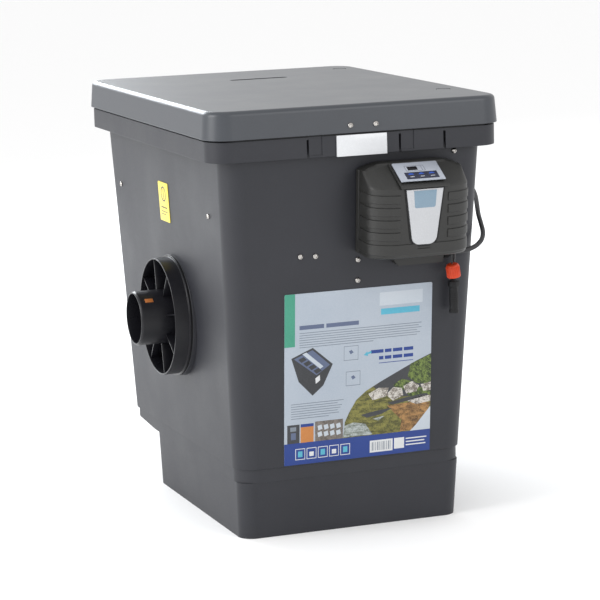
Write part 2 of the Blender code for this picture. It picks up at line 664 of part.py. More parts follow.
window = (cage_length - (WINDOWS_ALONG + 1) * BAR) / WINDOWS_ALONG
for row in range(WINDOWS_ALONG):
    low = BAR + row * (window + BAR)
    for number in range(WINDOWS_AROUND):
        opening = box(f"drum_window_{row}_{number}", (-0.2, -0.032, low), (0.2, 0.032, low + window),
                      helper=True)
        opening.location = on_drum(cage_front)
        opening.rotation_mode = "QUATERNION"
        opening.rotation_quaternion = (Matrix.Rotation(math.radians(-90), 3, "X")
                                       @ Matrix.Rotation(math.radians(180 * number / WINDOWS_AROUND), 3,
                                                         "Z")).to_quaternion()
        boolean(cage, opening)
turned("drum_screen", tube_profile(CAGE_OUTER + GAP + 0.0012, CAGE_OUTER + GAP, 0, cage_length), SCREEN,
       on_drum(cage_front), TO_BACK, DRUM_STEPS)


def gear_outline(teeth, tip_ease, phase):
    """Straight-sided teeth, a little thinner than half a pitch so that the pair runs free."""
    pitch_r = teeth * GEAR_MODULE / 2
    tip, root = pitch_r + GEAR_MODULE * tip_ease, pitch_r - GEAR_MODULE * 1.25
    step = 360 / teeth
    outline = []
    for tooth in range(teeth):
        middle = phase + tooth * step
        for share, radius in ((-0.34, root), (-0.13, tip), (0.13, tip), (0.34, root)):
            angle = math.radians(middle + share * step)
            outline.append((radius * math.cos(angle), radius * math.sin(angle)))
    return outline


def circle(radius, steps=32):
    return arc((0, 0), radius, 0, 360, steps)[:-1]


# ring gear on the front plate; the pinion above it hangs on the gear motor
gear_y = drum_front - GAP - GEAR_FACE / 2
gear_reach = (GEAR_TEETH + PINION_TEETH) * GEAR_MODULE / 2
pinion_z = drum_z + gear_reach
# the plates' own XY plane is turned to look along Y; 90 degrees there is up
plate_turn = (math.radians(90), 0, 0)
plate("ring_gear", [gear_outline(GEAR_TEETH, 0.8, 90), circle(0.030)], GEAR_FACE, DRUM,
      on_drum(gear_y), plate_turn)
MOTOR_RADIUS, MOTOR_LENGTH, MOTOR_SHAFT = 0.030, 0.078, 0.004
plate("pinion", [gear_outline(PINION_TEETH, 0.8, 270 + 180 / PINION_TEETH),
                 circle(MOTOR_SHAFT + GAP, 16)],
      GEAR_FACE, DRUM, (drum_x, gear_y, pinion_z), plate_turn)

# bracket that carries the stub axle and the motor, screwed to the front wall
bracket_y = gear_y - GEAR_FACE / 2 - 0.010
BRACKET_HALF, BRACKET_THICK = 0.060, 0.006
bracket_low, bracket_high = drum_z - 0.050, pinion_z + MOTOR_RADIUS + 0.001
bracket = box("drive_bracket", (drum_x - BRACKET_HALF, bracket_y - BRACKET_THICK, bracket_low),
              (drum_x + BRACKET_HALF, bracket_y, bracket_high), STEEL)
for side in (-1, 1):
    for low in (bracket_low, bracket_high - 0.022):
        arm = box(f"bracket_arm_{side}_{low:.3f}",
                  (drum_x + side * BRACKET_HALF - 0.004, -0.6, low),
                  (drum_x + side * BRACKET_HALF + 0.004, bracket_y - 0.001, low + 0.022), helper=True)
        boolean(bracket, arm, "UNION")
boolean(bracket, cavity, "INTERSECT")
boolean(bracket, cylinder("axle_hole", AXLE_RADIUS + GAP, 0.05, None, on_drum(bracket_y - 0.02),
                          TO_BACK, helper=True))
boolean(bracket, cylinder("motor_hole", 0.009, 0.05, None,
                          (drum_x, bracket_y - 0.02, pinion_z), TO_BACK, helper=True))
axle_start = bracket_y - BRACKET_THICK - 0.006
axle_end = drum_front + PLATE_THICK + 0.018
turned("drum_axle", [(0, axle_end - axle_start), (AXLE_RADIUS, axle_end - axle_start),
                     (AXLE_RADIUS, 0.006 - GAP), (AXLE_RADIUS + 0.006, 0.006 - GAP),
                     (AXLE_RADIUS + 0.006, 0), (0, 0)],
       STEEL, on_drum(axle_start), TO_BACK, 24, closed=False)
COLLAR = 0.008
turned("axle_collar", tube_profile(AXLE_RADIUS + 0.009, AXLE_RADIUS + GAP, 0, COLLAR), STEEL,
       on_drum(drum_front + PLATE_THICK + 0.0015), TO_BACK, 24)

# gear motor in front of the bracket, its shaft reaches through to the pinion
motor_face = bracket_y - BRACKET_THICK - GAP
shaft_end = MOTOR_LENGTH + BRACKET_THICK + 0.010 + GEAR_FACE
turned("gear_motor", [(0, shaft_end), (MOTOR_SHAFT, shaft_end), (MOTOR_SHAFT, MOTOR_LENGTH),
                      (MOTOR_RADIUS, MOTOR_LENGTH), (MOTOR_RADIUS, 0.030), (0.024, 0.028),
                      (0.024, 0.004), (0.020, 0), (0, 0)],
       HOUSING, (drum_x, motor_face - MOTOR_LENGTH, pinion_z), TO_BACK, 24, closed=False)

# debris gutter inside the drum, above the axle, and the dirty water pipe out of the back
GUTTER_TOP, GUTTER_HALF = SPIGOT_RADIUS - 0.036, SPIGOT_RADIUS - 0.044
GUTTER_FLOOR, GUTTER_SHEET = 0.016, 0.003
gutter_front = drum_front + PLATE_THICK + 0.020
gutter_back = DIVIDER_Y + 0.020
outer = [(-GUTTER_HALF, GUTTER_TOP), (-0.026, GUTTER_FLOOR), (0.026, GUTTER_FLOOR),
         (GUTTER_HALF, GUTTER_TOP)]
hollow = [(-GUTTER_HALF + 0.005, GUTTER_TOP + 0.01), (-0.024, GUTTER_FLOOR + GUTTER_SHEET),
          (0.024, GUTTER_FLOOR + GUTTER_SHEET), (GUTTER_HALF - 0.005, GUTTER_TOP + 0.01)]
gutter_middle = (gutter_front + gutter_back) / 2
gutter = plate("debris_gutter", [outer], gutter_back - gutter_front, DRUM, on_drum(gutter_middle),
               plate_turn)
boolean(gutter, plate("gutter_hollow", [hollow], gutter_back - gutter_front - 2 * GUTTER_SHEET,
                      place=on_drum(gutter_middle), turn=plate_turn, helper=True))
DIRT_RADIUS, DIRT_WALL = 0.020, 0.003
dirt_z = GUTTER_FLOOR + GUTTER_SHEET + 0.002 + DIRT_RADIUS
boolean(gutter, cylinder("gutter_drain", DIRT_RADIUS + GAP, 0.02, None,
                         on_drum(gutter_back - 0.01, 0, dirt_z), TO_BACK, helper=True))
# arms that hang the gutter on the divider
# (middle, half width, lowest and highest edge below the gutter's top)
ARM_PIECES = ((SPIGOT_RADIUS - 0.015, 0.030, 0.012, 0.002), (GUTTER_HALF - 0.004, 0.012, 0.018, 0.0))
arm_start, arm_end = DIVIDER_Y + DIVIDER_SHEET + GAP, DIVIDER_Y + DIVIDER_SHEET + 0.004
for side in (-1, 1):
    for number, (middle, half, low, high) in enumerate(ARM_PIECES):
        arm_x = drum_x + side * middle
        arm = box(f"gutter_arm_{side}_{number}",
                  (arm_x - half, arm_start, drum_z + GUTTER_TOP - low),
                  (arm_x + half, arm_end, drum_z + GUTTER_TOP - high), helper=True)
        boolean(gutter, arm, "UNION")


# ---- pipes through the back wall -----------------------------------------------------
def back_pipe(name, radius, x, z, start, tail, barbs):
    """Hose tail through the back wall, with a collar that seats on a raised boss."""
    wall_y = back_wall(z)
    seat = 0.006
    boss(name + "_seat", radius + 0.016, seat, (x, wall_y, z), TO_BACK)
    bore(name + "_bore", radius + GAP, (x, wall_y - 0.03, z), TO_BACK)
    collar = seat + GAP
    inner = radius - DIRT_WALL
    end = seat + 0.006 + tail
    profile = [(inner, end), (radius - 0.0015, end)]
    for number in range(barbs):
        root = end - (number + 1) * tail / (barbs + 1)
        profile += [(radius + 0.0015, root), (radius - 0.001, root)]
    profile += [(radius - 0.001, seat + 0.006), (radius + 0.013, seat + 0.006), (radius + 0.013, collar),
                (radius, collar), (radius, start - wall_y), (inner, start - wall_y)]
    turned(name, profile, PIPE, (x, wall_y, z), TO_BACK, 20)


back_pipe("dirt_water_pipe", DIRT_RADIUS, drum_x, drum_z + dirt_z, gutter_back - GUTTER_SHEET, 0.040, 2)
INLET_RADIUS = 0.025
for number, x in enumerate((-0.125, -0.020), 1):
    back_pipe(f"inlet_tail_{number}", INLET_RADIUS, x, 0.300, back_wall(0.300) - 0.030, 0.055, 3)

# drain in the back of the foot
DRAIN_X, DRAIN_Z, DRAIN_RADIUS = 0.120, 0.060, 0.016
bore("drain_bore", DRAIN_RADIUS + GAP, (DRAIN_X, FOOT_BACK - 0.02, DRAIN_Z), TO_BACK)
turned("drain_cap", [(0, 0.024), (0.010, 0.024), (0.010, 0.014), (0.026, 0.014), (0.026, GAP),
                     (DRAIN_RADIUS, GAP), (DRAIN_RADIUS, -0.014), (0, -0.014)],
       PIPE, (DRAIN_X, FOOT_BACK, DRAIN_Z), TO_BACK, 20, closed=False)

# ---- rinse pump, riser and spray pipe ------------------------------------------------
PUMP_X, PUMP_Y, PUMP_RADIUS = SEAM_WIDTH / 2 - 0.0793, SEAM_FRONT + 0.0743, 0.042
floor_z = FLOOR + GAP
turned("rinse_pump", [(0, 0.100), (0.012, 0.100), (0.012, 0.078), (PUMP_RADIUS - 0.008, 0.074),
                      (PUMP_RADIUS, 0.062), (PUMP_RADIUS, 0.012), (PUMP_RADIUS + 0.006, 0.010),
                      (PUMP_RADIUS + 0.006, 0), (0, 0)],
       HOUSING, (PUMP_X, PUMP_Y, floor_z), (0, 0, 0), 20, closed=False)
SPRAY_RADIUS = 0.009
riser_x = drum_x + BRACKET_HALF + 0.030
pipe_route = smooth_route([
    Vector((PUMP_X, PUMP_Y, floor_z + 0.100 + GAP)), Vector((PUMP_X, PUMP_Y, 0.150)),
    Vector((PUMP_X + 0.004, PUMP_Y - 0.002, 0.200)), Vector((riser_x, PUMP_Y - 0.012, 0.300)),
    Vector((riser_x, PUMP_Y - 0.012, 0.450)), Vector((riser_x, PUMP_Y - 0.012, spray_z - 0.060)),
    Vector((riser_x - 0.012, PUMP_Y - 0.008, spray_z - 0.018)),
    Vector((riser_x - 0.040, PUMP_Y + 0.004, spray_z)),
    Vector((drum_x + 0.020, PUMP_Y + 0.040, spray_z)),
    Vector((drum_x, PUMP_Y + 0.085, spray_z)), Vector((drum_x, -0.100, spray_z)),
    Vector((drum_x, 0.050, spray_z)), Vector((drum_x, DIVIDER_Y - 0.030, spray_z))], 0.028)
spray_pipe = solid_from_curve("spray_pipe", rod("spray_route", pipe_route, SPRAY_RADIUS, None), PIPE)
NOZZLES = 4
nozzle_step = cage_length / NOZZLES
for number in range(NOZZLES):
    nozzle_y = cage_front + (number + 0.5) * nozzle_step
    nozzle = turned(f"spray_nozzle_{number + 1}",
                    [(0, 0), (0.0075, 0), (0.0075, -0.014), (0.005, -0.018), (0.002, -0.024), (0, -0.024)],
                    None, (drum_x, nozzle_y, spray_z - SPRAY_RADIUS / 2), (0, 0, 0), 12, helper=True,
                    closed=False)
    boolean(spray_pipe, nozzle, "UNION")

# ---- foam chamber --------------------------------------------------------------------
GRID_Z = 0.150
foam_top = OUTLET_HEIGHT + 0.090
foam_back, foam_front = DIVIDER_Y - 0.012, SEAM_FRONT + FOAM_FRONT_SPACE
foam_left = -half_width(SEAM_HEIGHT) + WALL + OUTLET_CHAMBER
foam_right = baffle_x - 0.004
baffle = box("foam_baffle", (baffle_x, -0.6, 0.0), (baffle_x + 0.004, DIVIDER_Y - 2 * GAP, foam_top + 0.080),
             BODY)
boolean(baffle, cavity, "INTERSECT")
for number in range(2):
    start = foam_front + 0.050 + number * 0.240
    boolean(baffle, box(f"baffle_window_{number}", (baffle_x - 0.05, start, 0.050),
                        (baffle_x + 0.05, start + 0.150, 0.120), helper=True))
grid = box("foam_grid", (foam_left, foam_front, GRID_Z), (foam_right, foam_back, GRID_Z + 0.008), DRUM)
for end in (foam_front + 0.02, foam_back - 0.04):
    for side in (foam_left + 0.02, foam_right - 0.02):
        boolean(grid, box(f"grid_leg_{end:.3f}_{side:.3f}", (side - 0.008, end - 0.008, floor_z),
                          (side + 0.008, end + 0.008, GRID_Z + 0.004), helper=True), "UNION")
column = (foam_right - foam_left - FOAM_GAP) / 2
row_length = (foam_back - foam_front - (FOAM_ROWS - 1) * FOAM_GAP) / FOAM_ROWS
for row in range(FOAM_ROWS):
    slot_y = foam_front + row * (row_length + FOAM_GAP)
    for side in range(2):
        slot_x = foam_left + side * (column + FOAM_GAP)
        boolean(grid, box(f"grid_slot_{row}_{side}", (slot_x + 0.014, slot_y + 0.020, GRID_Z - 0.01),
                          (slot_x + column - 0.014, slot_y + row_length - 0.020, GRID_Z + 0.02),
                          helper=True))
        box(f"foam_{row * 2 + side + 1}", (slot_x, slot_y, GRID_Z + 0.008 + GAP),
            (slot_x + column, slot_y + row_length, foam_top), FOAM)

# ---- controller on the front wall ----------------------------------------------------
unit = bpy.data.objects.new("controller_frame", None)
unit.location = (CONTROLLER_X, 0, controller_up)
unit.parent = front_face
parts.objects.link(unit)

BACK_FACE = 0.0056      # behind this is the wall bracket
SPLIT = 0.018           # back shell meets the cover
COVER_LOW, SHOULDER, CROWN = -0.078, 0.059, 0.097
FLAT_HALF = 0.050       # middle part with the blade and the panel
CROWN_DROP = 0.012
TRIM = 0.004            # the cover is made this much longer and trimmed square to the back shell
shoulder_slope = (CROWN - SHOULDER) / (CONTROLLER_DEPTH - SPLIT - GAP)


def crown_height(x):
    beyond = max(0.0, abs(x) - FLAT_HALF) / (CONTROLLER_HALF - FLAT_HALF)
    return CROWN - CROWN_DROP * beyond ** 2


def cover_columns():
    """Plan view of the cover: (x, depth) from the left back edge round to the right."""
    bow = []
    for step in range(6):
        turn = math.radians(90 * step / 5)
        bow.append((FLAT_HALF + (CONTROLLER_HALF - FLAT_HALF) * math.cos(turn),
                    CONTROLLER_SIDE_DEPTH
                    + (CONTROLLER_DEPTH - CONTROLLER_SIDE_DEPTH) * math.sin(turn)))
    right = [(CONTROLLER_HALF, SPLIT + GAP - TRIM)] + bow
    return [(-x, depth) for x, depth in right] + list(reversed(right))


def make_cover():
    columns = cover_columns()
    low = SPLIT + GAP - TRIM
    rows = [lambda x, d: (low, COVER_LOW),
            lambda x, d: (max(low, d - 0.008), COVER_LOW),
            lambda x, d: (d, COVER_LOW + 0.007),
            lambda x, d: (d, 0.0),
            lambda x, d: (d, SHOULDER),
            lambda x, d: (d / 2 + (SPLIT + GAP) / 2, (SHOULDER + crown_height(x)) / 2),
            lambda x, d: (low, crown_height(x) + TRIM * shoulder_slope)]
    bm = bmesh.new()
    bmesh.ops.create_grid(bm, x_segments=len(columns) - 1, y_segments=len(rows) - 1, size=1.0)
    for vert in bm.verts:
        i = round((vert.co.x + 1) / 2 * (len(columns) - 1))
        j = round((vert.co.y + 1) / 2 * (len(rows) - 1))
        x, depth = columns[i]
        off, up = rows[j](x, depth)
        vert.co = (x, -off, up)
    bmesh.ops.remove_doubles(bm, verts=bm.verts, dist=0.00001)
    made = from_bmesh("controller_cover", bm, HOUSING, unit, smooth_angle=35)
    shell = made.modifiers.new("shell", "SOLIDIFY")
    shell.thickness = SHELL
    shell.offset = -1
    shell.use_even_offset = True
    return made


def crown_outline(inset):
    """Back view of the housing: flat foot, straight sides, arched top."""
    half = CONTROLLER_HALF - inset
    top = []
    for step in range(13):
        x = half - 2 * half * step / 12
        top.append((x, crown_height(x) - inset))
    return [(-half, COVER_LOW + inset), (half, COVER_LOW + inset)] + top


def blade_outline(grow):
    """Tapered blade with a rounded tip; grow widens it all round."""
    top, tip, top_half, tip_half, radius = 0.057, -0.051, 0.038, 0.026, 0.016
    right = [(top_half + grow, top + grow)]
    right += [(tip_half - radius + (radius + grow) * math.cos(math.radians(a)),
               tip + radius + (radius + grow) * math.sin(math.radians(a))) for a in (0, -30, -60, -90)]
    return [(-x, y) for x, y in right] + list(reversed(right))


cover = make_cover()
boolean(cover, box("cover_back_trim", (-0.2, -SPLIT - GAP, -0.2), (0.2, 0.05, 0.2), parent=unit,
                   helper=True))
WALL_TURN = (math.radians(90), 0, 0)    # a plate whose own Y runs up the wall
blade_seat = CONTROLLER_DEPTH - 0.0012
boolean(cover, plate("blade_recess", [blade_outline(0.0015)], 0.010,
                     place=(0, -blade_seat - 0.005, 0), turn=WALL_TURN, parent=unit, helper=True))
BLADE = 0.0040
blade = plate("front_blade", [blade_outline(0)], BLADE, WHITE,
              (0, -blade_seat - GAP - BLADE / 2, 0), WALL_TURN, unit)
blade_face = blade_seat + GAP + BLADE


def badge_outline(grow):
    top, foot, top_half, foot_half, radius = 0.0565, 0.021, 0.0235, 0.0215, 0.004
    corner = arc((foot_half - radius, foot + radius), radius + grow, 0, -90, 2)
    right = [(top_half + grow, top)] + corner
    return [(-x, y) for x, y in right] + list(reversed(right))


BADGE_DEPTH = 0.0012
boolean(blade, plate("badge_recess", [badge_outline(GAP)], 0.010,
                     place=(0, -blade_face + BADGE_DEPTH - 0.005, 0), turn=WALL_TURN, parent=unit,
                     helper=True))
plate("badge_window", [badge_outline(0)], BADGE_DEPTH - GAP, BADGE,
      (0, -blade_face + (BADGE_DEPTH - GAP) / 2, 0), WALL_TURN, unit)

# back shell, wall bracket with its cable box, circuit board
tray_depth = SPLIT - BACK_FACE
tray = plate("controller_back", [crown_outline(0)], tray_depth, HOUSING,
             (0, -(SPLIT + BACK_FACE) / 2, 0), WALL_TURN, unit)
boolean(tray, plate("tray_hollow", [crown_outline(SHELL)], 0.030,
                    place=(0, -BACK_FACE - SHELL - 0.015, 0), turn=WALL_TURN, parent=unit, helper=True))
bracket_plate = box("controller_bracket", (-0.045, -BACK_FACE + GAP, COVER_LOW - 0.012),
                    (0.045, -GAP, 0.060), STEEL, unit)
CABLE_BOX_DEPTH = 0.024
cable_box = plate("bracket_box", [[(-0.022, CABLE_BOX_LOW), (0.072, CABLE_BOX_LOW),
                                   (0.078, COVER_LOW - GAP), (-0.044, COVER_LOW - GAP)]],
                  CABLE_BOX_DEPTH - GAP, place=(0, -(CABLE_BOX_DEPTH + GAP) / 2, 0), turn=WALL_TURN,
                  parent=unit, helper=True)
boolean(bracket_plate, cable_box, "UNION")
BOARD_HALF = CONTROLLER_HALF - 0.024
box("circuit_board", (-BOARD_HALF, -0.0295, -0.060), (BOARD_HALF, -0.0275, 0.055), BOARD, unit)

# panel frame: a wedge on the sloping shoulder that carries the control panel
def shoulder_at(off):
    return CROWN - (off - SPLIT - GAP) * shoulder_slope


PANEL_HALF, FRAME_HALF = 0.046, 0.0495
# (depth, height) of the panel's back and front edge
PANEL_BACK, PANEL_FRONT = (SPLIT + 0.018, CROWN - 0.0015), (CONTROLLER_DEPTH - 0.005, SHOULDER + 0.0095)
FRAME_BACK, FRAME_FRONT = PANEL_BACK[0] - 0.006, PANEL_FRONT[0] + 0.010
frame_profile = [(-FRAME_BACK, shoulder_at(FRAME_BACK) + 0.001), (-CONTROLLER_DEPTH, SHOULDER + 0.001),
                 (-FRAME_FRONT, SHOULDER + 0.0005), (-FRAME_FRONT, PANEL_FRONT[1] - 0.006),
                 (-PANEL_FRONT[0] - 0.003, PANEL_FRONT[1] - 0.003),
                 (-PANEL_BACK[0] + 0.003, PANEL_BACK[1]), (-FRAME_BACK, PANEL_BACK[1] - 0.0005)]
panel_frame = plate("panel_frame", [frame_profile], 2 * FRAME_HALF, HOUSING,
                    turn=(math.radians(90), 0, math.radians(90)), parent=unit)

# panel plane: local X across, local Y up the slope, local Z out of it
panel_tilt = math.atan2(PANEL_BACK[1] - PANEL_FRONT[1], PANEL_FRONT[0] - PANEL_BACK[0])
panel = bpy.data.objects.new("panel_plane", None)
panel.parent = unit
PANEL_SINK = 0.0015
panel.location = (0, -(PANEL_BACK[0] + PANEL_FRONT[0]) / 2, (PANEL_BACK[1] + PANEL_FRONT[1]) / 2 - PANEL_SINK)
panel.rotation_euler = (panel_tilt, 0, 0)
parts.objects.link(panel)
PANEL_LENGTH, PANEL_SHEET = math.dist(PANEL_BACK, PANEL_FRONT) - 0.0052, 0.0016
KEY_WIDTH, KEY_HEIGHT, KEY_PITCH, KEY_Y = 0.0195, 0.0135, 0.0212, -0.0125
KEY_PLAY = 0.0004
display_low, display_high = (-0.020, 0.0045), (0.0, 0.0150)


def panel_hole(x0, y0, x1, y1):
    return [(x0, y0), (x1, y0), (x1, y1), (x0, y1)]


holes, key_places = [], []
for number in range(3):
    key_x = (number - 1) * KEY_PITCH + 0.002
    key_places.append(key_x)
    holes.append(panel_hole(key_x - KEY_WIDTH / 2 - KEY_PLAY, KEY_Y - KEY_HEIGHT / 2 - KEY_PLAY,
                            key_x + KEY_WIDTH / 2 + KEY_PLAY, KEY_Y + KEY_HEIGHT / 2 + KEY_PLAY))
holes.append(panel_hole(display_low[0], display_low[1], display_high[0], display_high[1]))
panel_seat = 0.0034
plate("control_panel", [rounded_outline((-PANEL_HALF, -PANEL_LENGTH / 2),
                                        (PANEL_HALF, PANEL_LENGTH / 2), 0.002, 2)] + holes,
      PANEL_SHEET, SILVER, (0, 0, panel_seat + PANEL_SHEET / 2), parent=panel)
KEY_ROOT = -0.003       # floor of each key's pocket
for number, key_x in enumerate(key_places, 1):
    pocket = box(f"key_pocket_{number}",
                 (key_x - KEY_WIDTH / 2 - KEY_PLAY, KEY_Y - KEY_HEIGHT / 2 - KEY_PLAY, KEY_ROOT),
                 (key_x + KEY_WIDTH / 2 + KEY_PLAY, KEY_Y + KEY_HEIGHT / 2 + KEY_PLAY, 0.02),
                 parent=panel, helper=True)
    boolean(panel_frame, pocket)
    box(f"key_{number}", (key_x - KEY_WIDTH / 2, KEY_Y - KEY_HEIGHT / 2, KEY_ROOT + KEY_TRAVEL + 2 * GAP),
        (key_x + KEY_WIDTH / 2, KEY_Y + KEY_HEIGHT / 2, panel_seat + PANEL_SHEET + 0.0007), KEYS, panel)
box("display_window", (display_low[0] + GAP, display_low[1] + GAP, panel_seat),
    (display_high[0] - GAP, display_high[1] - GAP, panel_seat + PANEL_SHEET - 0.0003), DISPLAY, panel)

# ---- leads, glands and the hanging connector -----------------------------------------
bpy.context.view_layer.update()
gland_out = unit.matrix_world @ Vector((0.0785, -0.0105, CABLE_BOX_LOW + 0.0145))
GLAND_LENGTH = 0.019
turned("controller_gland", [(CABLE_RADIUS + 0.0005, GLAND_LENGTH), (0.0065, GLAND_LENGTH), (0.0085, 0.012),
                            (0.0095, 0.010), (0.0095, 0), (CABLE_RADIUS + 0.0005, 0)],
       RUBBER, gland_out, TO_RIGHT, 12)
wall_gland_y, wall_gland_z = -0.120, RIM_TOP - 0.1524
right_x = half_width(wall_gland_z)
boss("gland_seat", 0.014, 0.003, (right_x, wall_gland_y, wall_gland_z), TO_RIGHT)
bore("gland_bore", 0.0075, (right_x - 0.02, wall_gland_y, wall_gland_z), TO_RIGHT)
turned("wall_gland", [(CABLE_RADIUS + 0.0005, 0.024), (0.0065, 0.024), (0.0095, 0.015), (0.012, 0.013),
                      (0.012, 0.003 + GAP), (0.0072, 0.003 + GAP), (0.0072, -0.012),
                      (CABLE_RADIUS + 0.0005, -0.012)],
       RUBBER, (right_x, wall_gland_y, wall_gland_z), TO_RIGHT, 12)

cable_points = [
    Vector((0.1830, -0.38463, 0.54481)), Vector((0.2010, -0.38463, 0.54481)), Vector((0.2190, -0.3860, 0.5458)),
    Vector((0.2370, -0.3872, 0.5490)), Vector((0.2540, -0.3835, 0.5550)), Vector((0.2700, -0.3710, 0.5640)),
    Vector((0.2810, -0.3520, 0.5750)), Vector((0.2880, -0.3280, 0.5880)), Vector((0.2960, -0.2990, 0.6020)),
    Vector((0.3080, -0.2660, 0.6170)), Vector((0.3210, -0.2310, 0.6290)), Vector((0.3310, -0.1960, 0.6370)),
    Vector((0.3350, -0.1640, 0.6400)), Vector((0.3290, -0.1370, 0.6400)), Vector((0.3110, -0.1225, 0.6400)),
    Vector((0.2850, -0.1200, 0.6400)), Vector((0.2570, -0.1200, 0.6400))]
rod("controller_lead", smooth_route(cable_points, 0.016), CABLE_RADIUS, CABLE)

lead_points = [
    Vector((0.1965, -0.4010, 0.5590)), Vector((0.1968, -0.4005, 0.5490)), Vector((0.1990, -0.3945, 0.5360)),
    Vector((0.2012, -0.3868, 0.5230)), Vector((0.2005, -0.3872, 0.5120)), Vector((0.2000, -0.3880, 0.5020)),
    Vector((0.2000, -0.3880, 0.4950))]
rod("connector_lead", smooth_route(lead_points, 0.006), LEAD_RADIUS, CABLE)
turned("hanging_connector", [(0, 0.0), (0.0050, 0.0), (0.0070, -0.006), (0.0092, -0.006), (0.0092, -0.017),
                             (0.0075, -0.018), (0.0075, -0.062), (0.0088, -0.063), (0.0088, -0.069),
                             (0.0055, -0.069), (0.0055, -0.060), (0, -0.060)],
       RUBBER, lead_points[-1] - Vector((0, 0, 0.0008)), (0, 0, 0), 16, closed=False)
strap_points = [Vector((0.1855, -0.4130, 0.5585)), Vector((0.1856, -0.4125, 0.5480)),
                Vector((0.1868, -0.4105, 0.5380)), Vector((0.1880, -0.4095, 0.5265))]
rod("cap_strap", smooth_route(strap_points, 0.005), STRAP_RADIUS, CABLE)
cap_turn = (math.radians(6), math.radians(-10), 0)
turned("connector_cap", [(0, 0.013), (0.0105, 0.013), (0.0125, 0.010), (0.0135, -0.013), (0.0115, -0.013),
                         (0.0115, 0.006), (0, 0.006)],
       ORANGE, strap_points[-1] + Vector((0.0025, 0.0015, -0.0135)), cap_turn, 16, closed=False)

# the container is hollowed last, so that the seats end flush with its inner wall
boolean(container, loft("container_inside", cavity_sections(WALL, FLOOR, RIM_TOP + 0.02),
                        helper=True))
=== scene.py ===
# Pond drum filter: the looks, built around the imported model. Metres, +Z up.
import json
import math

